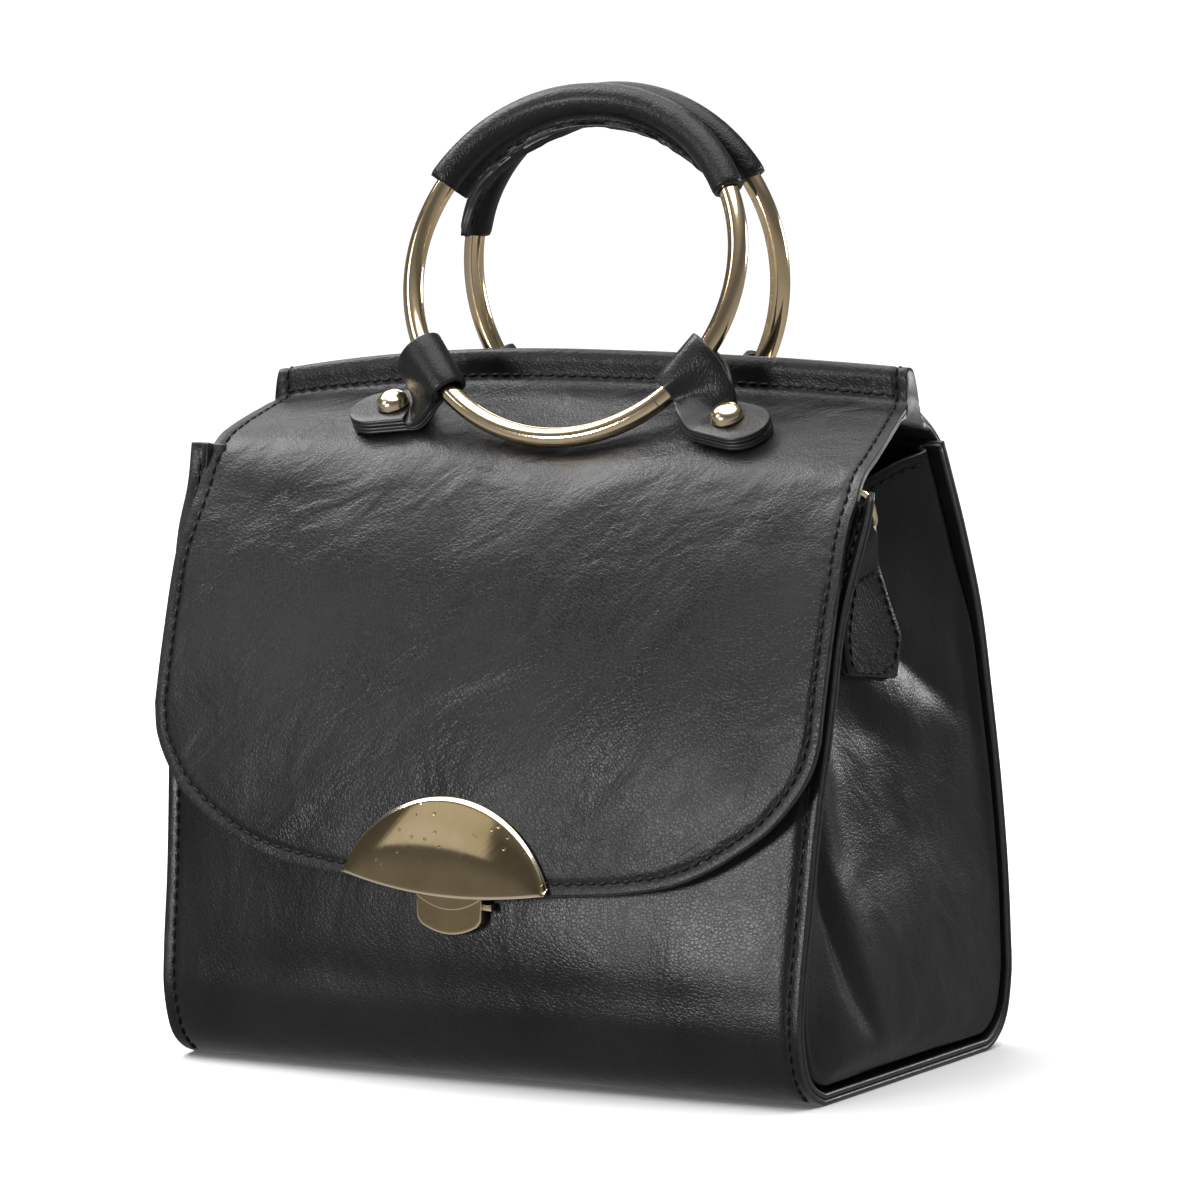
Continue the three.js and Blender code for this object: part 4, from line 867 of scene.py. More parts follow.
tree = surface_tree(flap_p, faces)
loop = inward_line(flap_p.reshape(nu, nv, 3), EDGE_STITCH)
loc, nrm = snapped(tree, loop)
t = unit(np.gradient(loop, axis=0))
t = unit(sum(np.roll(t, k, 0) for k in range(-3, 4)))
side = unit(np.cross(nrm, t))
centre = flap_p[(nu // 2) * nv + row_of(18)]
if ((centre - loop[len(loop) // 2]) * side[len(loop) // 2]).sum() < 0:
    side = -side
path, nrm = snapped(tree, loop + side * EDGE_STITCH)
path = path[4:-4]
flap_p, seam_d = press_line(flap_p, flap_n, path, 0.52, 1.15)
# the flap's wall over its inner face, with a rounded painted edge
tree = surface_tree(flap_p, faces)
flap_mesh = Mesh()
shell(flap_mesh, flap_p, faces, flap_n, FLAP, rim=0.55, back=inner, groove=0.4)
path, nrm = snapped(tree, path)
nrm = unit(sum(np.roll(nrm, k, 0) for k in (-2, -1, 0, 1, 2)))
sew(flap_mesh, path, nrm, start=2, finish=2)
# row at the front foot of the ridge, and one behind it
for k, shift in ((8.76, 0), (4.24, 0)):
    line = flap_p.reshape(nu, nv, 3)[3:-3, row_of(k)] + (0, shift, 0)
    line = along(line, np.arange(0, lengths(line)[-1], 1.0))[0]
    line, nr = snapped(tree, line)
    sew(flap_mesh, line, nr, start=3, finish=3)
flap = flap_mesh.build("flap_shell", "bag", "body_leather", ["flap"], [HIDE_FLAP, EDGE, LINING, THREAD_MAT, HOLE_SHADE])


def fall_y(x, z):
    return mix(fall_mid(z), fall_edge(z), np.abs(np.asarray(x, float) / 125.2) ** 2.4)


def flap_top(x, y, rear):
    """A point of the flap's top, and the way the flap faces there."""
    def at(px, py):
        left = px < 0
        rows = FLAP_TOP[:2] if rear else FLAP_TOP[6:]
        k = abs(px / (rows[0][2] if left else rows[0][7])) ** 2.2
        line = [(mix(r[3], r[0] if left else r[5], k), mix(r[4], r[1] if left else r[6], k) - dip_at(r[8], px)) for r in rows]
        if rear:
            q = panel(s_back(205.5), px / 124.4, FLAP + GAP)[0]
            line.append((float(q[1]), float(q[2])))
        return np.array([px, py, float(column(line, 0, 1)(py))])
    n = np.cross(at(x + 3, y) - at(x - 3, y), at(x, y + 3) - at(x, y - 3))
    return at(x, y), unit(n)


# ---------------------------------------------------------------- ring handles
def turn_z(v, a):
    c, s = math.cos(a), math.sin(a)
    return np.array([c * v[0] - s * v[1], s * v[0] + c * v[1], v[2]])


def ring_frame(h):
    t, yw = math.radians(h["tilt"]), math.radians(h["yaw"])
    ex, eu = turn_z((1, 0, 0), yw), turn_z((0, math.sin(t), math.cos(t)), yw)

    def at(deg, r=RING_R):
        a = math.radians(deg)
        out = ex * math.cos(a) + eu * math.sin(a)
        return np.array(h["centre"]) + out * r, out, -ex * math.sin(a) + eu * math.cos(a)
    return at, np.cross(ex, eu)


JOINT_AT = {"front": -51.0, "rear": -90.0}
for side, h in HANDLES.items():
    at, normal = ring_frame(h)
    mesh = Mesh()
    angles = np.linspace(0, 360, 220, endpoint=False)
    gap = np.abs((angles - JOINT_AT[side] + 180) % 360 - 180)
    sec = []
    for deg, g in zip(angles, gap):
        p, out, _ = at(deg)
        a = np.arange(32) / 32 * 2 * math.pi
        r = WIRE
        sec.append(p + (out * np.cos(a)[:, None] + normal * np.sin(a)[:, None]) * r)
    sec = np.array(sec)
    mesh.add(sec.reshape(-1, 3), grid_faces(220, 32, True, True), 0)
    # butt joint of the bent wire: a hairline
    line = []
    for d, r in ((-0.10, WIRE + 0.01), (-0.05, WIRE + 0.035), (0.05, WIRE + 0.035), (0.10, WIRE + 0.01)):
        p, out, _ = at(JOINT_AT[side] + d * 1.6)
        a = np.arange(32) / 32 * 2 * math.pi
        line.append(p + (out * np.cos(a)[:, None] + normal * np.sin(a)[:, None]) * r)
    mesh.add(np.vstack(line), grid_faces(4, 32, False, True), 1)
    me = mesh.build("handle_ring_" + side, "bag", "pale_gold", ["ring_" + side], [GOLD, DARK])

fin_front, fin_rear = column(FIN_FOLD, 0, 1), column(FIN_FOLD, 0, 2)
for side, h in HANDLES.items():
    at, normal = ring_frame(h)
    fold = fin_front if h["fin"] > 0 else fin_rear
    half = math.asin(FIN_T / 2 / SLEEVE)
    outer, inner_, row_a, row_b, nrm_a, nrm_b = [], [], [], [], [], []
    steps = np.linspace(0, 1, 96)
    for t in steps:
        deg = mix(h["start"], h["end"], t)
        p, out, fwd = at(deg)
        g = math.radians(float(fold(deg)))
        aim = math.pi + g if h["fin"] > 0 else -g
        cx = p + out * ((1.3 if h["fin"] > 0 else 0.4) * math.sin(math.radians(min(90, max(0, h["fin"] * (deg - 90)))) * 1.2))
        d = lambda a, r, c=cx: c + normal * (r * math.cos(a)) + out * (r * math.sin(a))
        q = np.array([[t * 130, 3.0 * (1 if h["fin"] > 0 else 2), 0.0]])
        wave = float(0.35 * noise(q, 7, 5)[0] + 0.25 * noise(q, 3, 6)[0])
        swollen = 1 + 0.012 * float(noise(q, 9, 8)[0])
        close = float(ease(0, 0.012, t) * ease(1, 0.988, t))
        fl = FIN + wave
        tip = d(aim, SLEEVE + fl)
        sx, sy = np.cos(aim) * normal + np.sin(aim) * out, -np.sin(aim) * normal + np.cos(aim) * out
        body_ring = [d(aim + a, (SLEEVE * swollen) * mix(0.93, 1, close)) for a in np.linspace(half * 1.9, 2 * math.pi - half * 1.9, 40)]
        # blend from the tube into the two layers, pinched at the seam
        th = FIN_T / 2
        fin_pts = [(SLEEVE - 0.1, 1.12), (SLEEVE + 0.9, 0.86), (SLEEVE + 2.0, 0.74), (SLEEVE + 3.2, 0.96), (SLEEVE + fl - 0.9, 1.0), (SLEEVE + fl - 0.15, 0.82), (SLEEVE + fl + 0.15, 0.45), (SLEEVE + fl - 0.15, 0.10)]
        lower = [cx + sx * r - sy * th * k for r, k in fin_pts]
        upper = [cx + sx * r + sy * th * k for r, k in fin_pts[::-1]]
        outer.append(np.array(body_ring + lower + upper))
        inner_.append(np.array([d(aim + a, WIRE + 0.25) for a in np.linspace(half * 1.9, 2 * math.pi - half * 1.9, 40)] + [d(aim - a, WIRE + 0.25) for a in np.linspace(half * 1.8, 0.01, 8)] + [d(aim + a, WIRE + 0.25) for a in np.linspace(0.01, half * 1.8, 8)]))
        row_a.append(cx + sx * (SLEEVE + 2.0) - sy * th * 0.78)
        row_b.append(cx + sx * (SLEEVE + 2.0) + sy * th * 0.78)
        nrm_a.append(-sy)
        nrm_b.append(sy)
    outer, inner_ = np.array(outer), np.array(inner_)
    n, m = outer.shape[:2]
    mats = []
    faces = grid_faces(n, m, False, True)
    for k, f in enumerate(faces):
        j = k % m
        mats.append(1 if 44 <= j <= 50 else 0)
    flip = False
    mesh = Mesh()
    vol = np.einsum("ij,ij->", outer[10] - outer[10].mean(0), np.cross(np.roll(outer[10], -1, 0) - outer[10], np.tile(at(60)[2], (m, 1))))
    mesh.add(outer.reshape(-1, 3), faces, mats)
    mesh.add(inner_.reshape(-1, 3), grid_faces(n, m, False, True, flip=True), 2)
    for i, turn in ((0, True), (n - 1, False)):
        ring = []
        for j in range(m):
            k = (j + 1) % m
            q = (j, k, m + k, m + j)
            ring.append(q if turn else q[::-1])
        mesh.add(np.vstack([outer[i], inner_[i]]), ring, 1)
    row_a, row_b = np.array(row_a), np.array(row_b)
    sew(mesh, row_a, np.array(nrm_a), pitch=4.2, r=0.4, start=3, finish=3)
    sew(mesh, row_b, np.array(nrm_b), pitch=4.2, r=0.4, start=3, finish=3)
    o = mesh.build("handle_wrap_" + side, "bag", "body_leather", ["wrap_" + side], [HIDE_WRAP, EDGE, LINING, THREAD_MAT, HOLE_SHADE])


# ---------------------------------------------------------------- riveted straps
def ribbon(mesh, centre, width_dir, normal_dir, half, thick, mats=(0, 1), notch=0.5, cap=(True, True)):
    """A leather strip with rounded, notched edges that show its two layers."""
    sec = []
    for c, w, n, h, t in zip(centre, width_dir, normal_dir, half, thick):
        e = min(0.55, h * 0.45)
        prof = [(-h + e, t / 2), (-h * 0.5, t / 2), (0, t / 2), (h * 0.5, t / 2), (h - e, t / 2), (h - e * 0.35, t / 2 * 0.86), (h, t / 2 * 0.55), (h - 0.02, t / 2 * 0.22), (h - notch, 0), (h - 0.02, -t / 2 * 0.22), (h, -t / 2 * 0.55), (h - e * 0.35, -t / 2 * 0.86), (h - e, -t / 2), (h * 0.5, -t / 2), (0, -t / 2), (-h * 0.5, -t / 2), (-h + e, -t / 2), (-h + e * 0.35, -t / 2 * 0.86), (-h, -t / 2 * 0.55), (-h + 0.02, -t / 2 * 0.22), (-h + notch, 0), (-h + 0.02, t / 2 * 0.22), (-h, t / 2 * 0.55), (-h + e * 0.35, t / 2 * 0.86)]
        sec.append([c + w * a + n * b for a, b in prof])
    sec = np.array(sec)
    n, m = sec.shape[:2]
    mats_of = []
    faces = grid_faces(n, m, False, True)
    for k in range(len(faces)):
        j = k % m
        mats_of.append(mats[1] if 5 <= j <= 11 or 17 <= j <= 22 or j == 23 else mats[0])
    mesh.add(sec.reshape(-1, 3), faces, mats_of)
    for i, turn in ((0, True), (n - 1, False)):
        if cap[0 if i == 0 else 1]:
            c = sec[i].mean(0)
            mesh.add(np.vstack([sec[i], c]), [((j + 1) % m, j, m) if turn else (j, (j + 1) % m, m) for j in range(m)], mats[1])


def bezier(p0, p1, p2, p3, t):
    t = np.asarray(t)[:, None]
    return (1 - t) ** 3 * p0 + 3 * t * (1 - t) ** 2 * p1 + 3 * t * t * (1 - t) * p2 + t ** 3 * p3


rivets = []
for name, handle, side, x, y, going in TAB_ENDS:
    at, _ = ring_frame(HANDLES[handle])
    p, out, fwd = at(HANDLES[handle][side])
    land, N_ = flap_top(x, y, handle == "rear")
    going = np.array(going, float)
    D = unit(going - N_ * going.dot(N_))
    W = unit(np.cross(N_, D))
    if W.dot(fwd) < 0:
        W = -W
    start = p - out * 0.85
    foot = land + N_ * (GAP + (1.6 if handle == "rear" else 0.25) + STACK / 2)
    ts = np.linspace(0, 1, 34)
    ctrl = [start, start + out * 11, foot - D * 12, foot - D * 6.3]
    mid = bezier(*ctrl, ts)
    tan = unit(np.gradient(mid, axis=0))
    ws, ns = [], []
    for t, d in zip(ts, tan):
        w = mix(fwd, W, float(ease(0.1, 0.95, t) if handle == "rear" else ease(0.3, 1.0, t)))
        w = unit(w - d * w.dot(d))
        n = unit(np.cross(d, w))
        if n.dot(N_) < 0:
            n = -n
        ws.append(w)
        ns.append(n)
    ws, ns = np.array(ws), np.array(ns)
    # ends past the rivet
    far = np.concatenate([np.linspace(-5, 0, 4), np.linspace(0.0, STRAP_END - STRAP_W / 2, 5)[1:]])
    flat = [(foot + D * f, STRAP_W / 2) for f in far]
    for a in np.linspace(0.12, 1.50, 12):
        flat.append((foot + D * (STRAP_END - STRAP_W / 2 * (1 - math.sin(a))), max(0.5, STRAP_W / 2 * math.cos(a))))
    layer = STACK / 4 - 0.02
    loop_r = (LOOP_IN + LOOP_OUT) / 2
    off = mix(loop_r, STACK / 4 + 0.02, ease(0.02, 0.42, ts))
    thick = mix(LOOP_OUT - LOOP_IN, 2 * layer, ease(0.05, 0.45, ts))
    n0 = ns[0]
    arc = np.radians(np.linspace(90, 270, 26))[1:-1]
    loop_pts = [start + loop_r * (math.cos(a) * out + math.sin(a) * n0) for a in arc]
    loop_n = [math.cos(a) * out + math.sin(a) * n0 for a in arc]
    top = [(c, W, N_, h, 2 * layer) for c, h in flat][::-1]
    upper = [(c + N_ * (STACK / 4 + 0.02), w, n, h, t) for c, w, n, h, t in top]
    upper += [(c + n * o, w, n, STRAP_W / 2, t) for c, w, n, o, t in zip(mid[::-1], ws[::-1], ns[::-1], off[::-1], thick[::-1])]
    upper += [(c, fwd, n, STRAP_W / 2, LOOP_OUT - LOOP_IN) for c, n in zip(loop_pts, loop_n)]
    upper += [(c - n * o, w, -n, STRAP_W / 2, t) for c, w, n, o, t in zip(mid, ws, ns, off, thick)]
    upper += [(c - N_ * (STACK / 4 + 0.02) - D * 0.0, w, -n, h, t) for c, w, n, h, t in top[::-1]]
    mesh = Mesh()
    ribbon(mesh, *[np.array(col) for col in zip(*upper)])
    mesh.build("strap_" + name, "bag", "strap_leather", ["tab_" + name], [HIDE_STRAP, EDGE])
    rivets.append((name, foot + N_ * STACK / 2, N_))

for name, at_, N_ in rivets:
    prof = [(0, 0.05), (RIVET * 0.90, 0.05), (RIVET * 0.97, 0.18), (RIVET, 0.42), (RIVET * 0.995, 0.8), (RIVET * 0.965, 1.25)]
    prof += [(RIVET * 0.965 * math.cos(a), 1.25 + 3.9 * math.sin(a)) for a in np.linspace(0.1, math.pi / 2 - 0.04, 16)] + [(0, 5.15)]
    e = unit(np.cross(N_, (0.3, 0.9, 0.1)))
    e2 = np.cross(N_, e)
    a = np.arange(56) / 56 * 2 * math.pi
    sec = [at_ + N_ * zv + (e * np.cos(a)[:, None] + e2 * np.sin(a)[:, None]) * max(r, 0.01) for r, zv in prof]
    mesh = Mesh()
    loft(mesh, sec, 0, caps=False)
    mesh.build("rivet_dome_" + name, "bag", "pale_gold", ["rivet_" + name], [GOLD_RIVET])

# ---------------------------------------------------------------- half-moon clasp
R_ = (CLASP["half"] ** 2 + CLASP["high"] ** 2) / (2 * CLASP["high"])
turn = math.radians(CLASP["turn"])
rows, backs = [], []
for t in np.linspace(0, 1, 150):
    x = CLASP["half"] * 0.985 * math.sin(1.35 * (2 * t - 1)) / math.sin(1.35)
    up, low = math.sqrt(R_ * R_ - x * x) - (R_ - CLASP["high"]), -CLASP["sag"] * (1 - (x / CLASP["half"]) ** 2)
    high = max(up, low + 2.0)
    rise = 1 - (x / CLASP["half"]) ** 2
    row, brow = [], []
    span = high - low
    vs = np.concatenate([[0, 0.25 / span, 0.6 / span, 1.0 / span], np.linspace(1.6 / span, 1 - 1.6 / span, 34), [1 - 1.0 / span, 1 - 0.6 / span, 1 - 0.25 / span, 1]]) if span > 5 else np.linspace(0, 1, 42)
    for v in vs:
        z = mix(low, high, v)
        px = CLASP["x"] + x * math.cos(turn) - z * math.sin(turn)
        pz = CLASP["z"] + x * math.sin(turn) + z * math.cos(turn)
        lean_ = mix(CLASP["lower"] * (0.6 + 0.4 * rise), CLASP["upper"], v)
        bevel = 0.55 * (1 - min(1.0, min(v, 1 - v) * span / 1.0)) ** 2
        # the face hollows a little above its lower lip
        dome = lean_ + 2.2 * rise * math.sin(math.pi * v) ** 0.8 - bevel
        base = float(fall_y(px, pz))
        row.append((px, base - 0.55 - dome, pz))
        brow.append((px, base - 0.45, pz))
    rows.append(row)
    backs.append(brow)
rows, backs = np.array(rows), np.array(backs)
nu, nv = rows.shape[:2]
faces = grid_faces(nu, nv)
n = point_normals(rows.reshape(-1, 3), faces)
if n[:, 1].sum() > 0:
    faces = [f[::-1] for f in faces]
# rows along the clasp's upper and lower edge take the paler gold, a painted highlight
mats = []
for k in range(len(faces)):
    i, j = divmod(k, nv - 1)
    mats.append(1 if j < 3 or j >= nv - 4 else 0)
mesh = Mesh()
base0 = mesh.n
mesh.add(rows.reshape(-1, 3), faces, mats)
mesh.add(backs.reshape(-1, 3), [f[::-1] for f in faces], 0)
edge_ids = [(i, 0) for i in range(nu)] + [(nu - 1, j) for j in range(1, nv)] + [(i, nv - 1) for i in range(nu - 2, -1, -1)] + [(0, j) for j in range(nv - 2, 0, -1)]
top_ring = np.array([rows[i, j] for i, j in edge_ids])
low_ring = np.array([backs[i, j] for i, j in edge_ids])
ctr = top_ring.mean(0)
# the clasp's rounded side wall takes the paler gold, a painted highlight
sec = [top_ring, mix(top_ring, low_ring, 0.06) + unit((top_ring - ctr) * (1, 0, 1)) * 0.22, mix(top_ring, low_ring, 0.5) + unit((top_ring - ctr) * (1, 0, 1)) * 0.25, low_ring]
mesh.add(np.vstack(sec), grid_faces(4, len(edge_ids), False, True), 1)
# tongue behind the plate's lower edge, over the face of the lock
half = LOCK["half"] + 1.2
y0 = float(fall_y(LOCK["x"], 66)) - 0.55
q = np.linspace(0, 1, 28)[:, None]
curve = (1 - q) ** 2 * np.array([-half, 0.4]) + 2 * q * (1 - q) * np.array([0, -10.4]) + q ** 2 * np.array([half, -0.6])
outline = np.vstack([[(-half, 4.6)], curve, [(half, 4.6)]])


def plate(mesh, outline, y_back, y_front, bevel=0.45, shift=(0, 0), mats=(0, 1)):
    """A flat plate with softened edges; the outline is x, z, and it faces -Y."""
    o = np.array(outline, float) + shift
    area = (o[:, 0] * np.roll(o[:, 1], -1) - np.roll(o[:, 0], -1) * o[:, 1]).sum()
    if area < 0:
        o = o[::-1]
    d = unit(np.roll(o, -1, 0) - np.roll(o, 1, 0))
    inn = np.stack([-d[:, 1], d[:, 0]], -1)
    levels = [(0, y_back), (0, y_front + bevel), (bevel * 0.3, y_front + bevel * 0.3), (bevel, y_front), (bevel * 1.8, y_front)]
    sec = [np.stack([(o + inn * k)[:, 0], np.full(len(o), y), (o + inn * k)[:, 1]], -1) for k, y in levels]
    n = len(o)
    # the side and bevel take the second material; on the clasp and lock that is the paler gold, a painted highlight
    mesh.add(np.vstack(sec), grid_faces(len(levels), n, False, True), [mats[1]] * n * 3 + [mats[0]] * n)
    mesh.add(sec[-1], [tuple(range(n))], mats[0])
    mesh.add(sec[0], [tuple(range(n))[::-1]], mats[0])


plate(mesh, outline, y0, y0 - 1.9, 0.35, (LOCK["x"] + 0.8, 66 - 1.4))
# the clasp's face takes the darkened gold, painted shade of its reflections
mesh.build("half_moon_plate", "bag", "pale_gold", ["clasp_plate"], [GOLD_PLATE_SHADED, GOLD_RIM_HIGHLIGHT], sharp=38)

# lock base on the front of the bag, with its pin
h = LOCK["half"]
q = np.linspace(0, 1, 30)[:, None]
curve = (1 - q) ** 2 * np.array([-h, LOCK["shoulder"]]) + 2 * q * (1 - q) * np.array([0, 2 * LOCK["low"] - LOCK["shoulder"]]) + q ** 2 * np.array([h, LOCK["shoulder"]])
corner = [(-h, LOCK["top"]), (-h, LOCK["shoulder"] + 2.0), (-h + 0.25, LOCK["shoulder"] + 0.8)]
outline = corner + [tuple(c) for c in curve[2:-2]] + [(-x, z) for x, z in corner[::-1]]
face_y = float(fall_y(LOCK["x"], 64)) + 0.05
mesh = Mesh()
plate(mesh, outline, face_y + LOCK["deep"], face_y, 0.75, (LOCK["x"], 0))
a = np.arange(24) / 24 * 2 * math.pi
# the pin takes the paler gold as well, the painted highlight colour
pin = [(0.2, 1.3), (0.5, 1.5), (3.0, 1.5), (3.35, 1.3), (3.5, 0.7), (3.5, 0.02)]
sec = [np.stack([np.full(24, LOCK["x"] + h - 0.1 + d), face_y + 1.9 + r * np.cos(a), 60.6 + r * np.sin(a)], -1) for d, r in pin]
loft(mesh, sec, 1, caps=False)
# the lock's face takes the darkened gold, painted shade of its reflections
mesh.build("lock_plate", "bag", "pale_gold", ["lock_base"], [GOLD_PLATE_SHADED, GOLD_RIM_HIGHLIGHT], sharp=38)


# ---------------------------------------------------------------- D-rings and their tabs
def tab_point(a, b):
    return DTAB_Y + a * math.sin(DTAB_TURN) + b * math.cos(DTAB_TURN), DTAB_Z - a * math.cos(DTAB_TURN) + b * math.sin(DTAB_TURN)


def skin_x(y, z):
    return float(side_x(y, z, 60))


def bar_frame():
    y1, z1 = tab_point(0, 6)
    y0_, z0_ = tab_point(0, -6)
    p = unit((skin_x(y1, z1) - skin_x(y0_, z0_), y1 - y0_, z1 - z0_))
    yl, zl = tab_point(14, 0)
    yc, zc = tab_point(0, 0)
    down = np.array((skin_x(yl, zl) - skin_x(yc, zc), yl - yc, zl - zc))
    down = unit(down - p * down.dot(p))
    n = unit(np.cross(down, p))
    if n[0] < 0:
        n = -n
    reach = DWIRE + 0.45 + 1.7
    return np.array((skin_x(yc, zc), yc, zc)) + n * (reach + 1.2), p, down, n, reach


BAR = bar_frame()
tab_half, tab_shift = column(DTAB, 0, 1), column(DTAB, 0, 2)


def mirrored(mesh, right):
    if not right:
        mesh.v = [v * (-1, 1, 1) for v in mesh.v]
        mesh.f = [f[::-1] for f in mesh.f]
    return mesh


def d_tab(right):
    c, p, down, n, reach = BAR
    mesh = Mesh()
    runs = np.concatenate([np.linspace(49.4, 46, 6)[:-1], np.linspace(46, 36, 14)[:-1], np.linspace(36, 4, 30)[:-1], [3, 2, 1, 0]])
    bs = np.linspace(-1, 1, 13)

    def skin(a):
        half_, sh = float(tab_half(a)) if a > 4.5 else 6.8, float(tab_shift(a)) if a > 4.5 else 0.0
        pts = []
        for b in bs:
            y, z = tab_point(a, sh + b * half_)
            pts.append((skin_x(y, z), y, z))
        return np.array(pts)
    base = np.array([skin(a) for a in runs])
    f = grid_faces(len(runs), 13)
    nn_ = point_normals(base.reshape(-1, 3), f).reshape(base.shape)
    if nn_[..., 0].sum() < 0:
        nn_ = -nn_
    lay = DTAB_T / 2
    near = ease(14, 0, runs)[:, None, None]
    flat_c = c + p * (bs * 6.8)[:, None]                     # along the bar
    up_target = np.array([flat_c + down * r_ for r_ in runs])
    r_mid = 2.75
    upper = base + nn_ * (0.95 + 1.5 * lay)
    lower = base + nn_ * (0.95 + 0.5 * lay)
    upper = upper * (1 - near) + (up_target + n * r_mid) * near
    lower = lower * (1 - near) + (up_target - n * r_mid) * near
    un = nn_ * (1 - near) + n * near
    arc = np.radians(np.linspace(0, 180, 16))[1:-1]
    loop_ = np.array([flat_c + r_mid * (math.cos(a) * n - math.sin(a) * down) for a in arc])
    loop_n_ = np.array([np.tile(math.cos(a) * n - math.sin(a) * down, (13, 1)) for a in arc])
    strip = np.concatenate([upper, loop_, lower[::-1]])
    strip_n = unit(np.concatenate([un, loop_n_, -un[::-1]]))
    thick = np.concatenate([np.full(len(runs), 1.0), np.full(len(arc), 1.0), np.full(len(runs), 1.0)]) * (lay - 0.06)
    face_p, face_b = strip + strip_n * (thick / 2)[:, None, None], strip - strip_n * (thick / 2)[:, None, None]
    # the tab's leather wall
    q = face_p.reshape(-1, 3)
    f = grid_faces(len(strip), 13)
    n2 = point_normals(q, f)
    if (n2 * strip_n.reshape(-1, 3)).sum() < 0:
        f = [k[::-1] for k in f]
        n2 = -n2
    shell(mesh, q, f, n2, 1, rim=0.22, back=face_b.reshape(-1, 3), mats=(0, 1, 0), groove=0.2)
    tree_ = surface_tree(q, f)
    left_, right_ = [], []
    for a in np.concatenate([np.linspace(13.5, 36.8, 20), np.linspace(37.6, 45.0, 8)]):
        h_, s_ = float(tab_half(a)), float(tab_shift(a))
        k = max(0.15, h_ - 2.3 * (1.0 if a < 37 else 1.25))
        for lst, sg_ in ((left_, -1), (right_, 1)):
            y, z = tab_point(a, s_ + sg_ * k)
            lst.append((skin_x(y, z) + 4.0, y, z))
    line = np.array(left_ + right_[::-1])
    line = along(line, np.arange(0, lengths(line)[-1], 0.8))[0]
    line, nr = snapped(tree_, line)
    sew(mesh, line, nr, pitch=3.9, r=0.4, mats=(2, 3))
    y, z = tab_point(13.4, 0)
    cross = []
    for b in np.linspace(-4.4, 4.4, 9):
        y, z = tab_point(13.4, b - 0.6)
        cross.append((skin_x(y, z) + 4.2, y, z))
    line, nr = snapped(tree_, np.array(cross))
    sew(mesh, line, nr, pitch=3.2, r=0.4, mats=(2, 3), start=0.3, finish=0.3)
    side_name = "right" if right else "left"
    mirrored(mesh, right).build("d_tab_" + side_name, "bag", "strap_leather", ["dring_tab_" + side_name], [HIDE_STRAP, EDGE, THREAD_MAT, HOLE_SHADE])


def d_ring(right):
    c, p, down, n, _ = BAR
    up = unit(-down * math.cos(D_LEAN) + n * math.sin(D_LEAN))
    at = lambda a, b: c + p * a + up * b
    corner_, leg = 2.6, D_HIGH - D_HALF
    pts = [at(t * (D_HALF - corner_), 0) for t in np.linspace(-1, 1, 14)]
    pts += [at(D_HALF - corner_ * (1 - math.sin(t)), corner_ * (1 - math.cos(t))) for t in np.linspace(0, math.pi / 2, 12)[1:-1]]
    pts += [at(D_HALF * math.cos(a), leg + D_HALF * math.sin(a)) for a in np.linspace(0, math.pi, 60)]
    pts += [at(-D_HALF + corner_ * (1 - math.sin(t)), corner_ * (1 - math.cos(t))) for t in np.linspace(math.pi / 2, 0, 12)[1:-1]]
    pts = np.array(pts)
    side_ = unit(np.cross(p, up))
    d = unit(np.roll(pts, -1, 0) - np.roll(pts, 1, 0))
    o = unit(np.cross(d, side_))
    a = np.arange(18) / 18 * 2 * math.pi
    sec = pts[:, None] + DWIRE * (o[:, None] * np.cos(a)[None, :, None] + side_[None, None] * np.sin(a)[None, :, None])
    mesh = Mesh()
    loft(mesh, sec, 0, close=True)
    name_ = "right" if right else "left"
    mirrored(mesh, right).build("d_ring_" + name_, name_ + "_ring", "pale_gold", ["dring_" + name_], [GOLD])


for right in (False, True):
    d_tab(right)
    d_ring(right)

# ---------------------------------------------------------------- outward faces
for o in list(bpy.context.scene.objects):
    if o.type == "MESH" and o.name.startswith(("handle_", "strap_", "rivet_dome", "d_", "half_moon", "lock_plate")):
        me = o.data
        import bmesh
        bm = bmesh.new()
        bm.from_mesh(me)
        bmesh.ops.remove_doubles(bm, verts=bm.verts, dist=1e-6)
        bmesh.ops.recalc_face_normals(bm, faces=bm.faces)
        bm.to_mesh(me)
        bm.free()
        me.update()

# ---------------------------------------------------------------- floor, light, camera
bm_floor = bpy.data.meshes.new("floor")
s_ = 60.0
bm_floor.from_pydata([(-s_, -s_, 0), (s_, -s_, 0), (s_, s_, 0), (-s_, s_, 0)], [], [(0, 1, 2, 3)])
floor = bpy.data.objects.new("floor", bm_floor)
bpy.context.scene.collection.objects.link(floor)
m, nt, b = nodes_of("floor_white")
b.inputs["Base Color"].default_value = (0.86, 0.86, 0.86, 1)
b.inputs["Roughness"].default_value = 0.55
b.inputs["Specular IOR Level"].default_value = 0.25
bm_floor.materials.append(m)

world = bpy.data.worlds.new("studio")
bpy.context.scene.world = world
world.use_nodes = True
wt = world.node_tree
co = wt.nodes.new("ShaderNodeTexCoord")
sep = wt.nodes.new("ShaderNodeSeparateXYZ")
sky = wt.nodes.new("ShaderNodeValToRGB")
wt.links.new(co.outputs["Generated"], sep.inputs[0])
half_up = wt.nodes.new("ShaderNodeMath")
half_up.operation = "MULTIPLY_ADD"
half_up.inputs[1].default_value, half_up.inputs[2].default_value = 0.5, 0.5
wt.links.new(sep.outputs["Z"], half_up.inputs[0])
wt.links.new(half_up.outputs[0], sky.inputs[0])
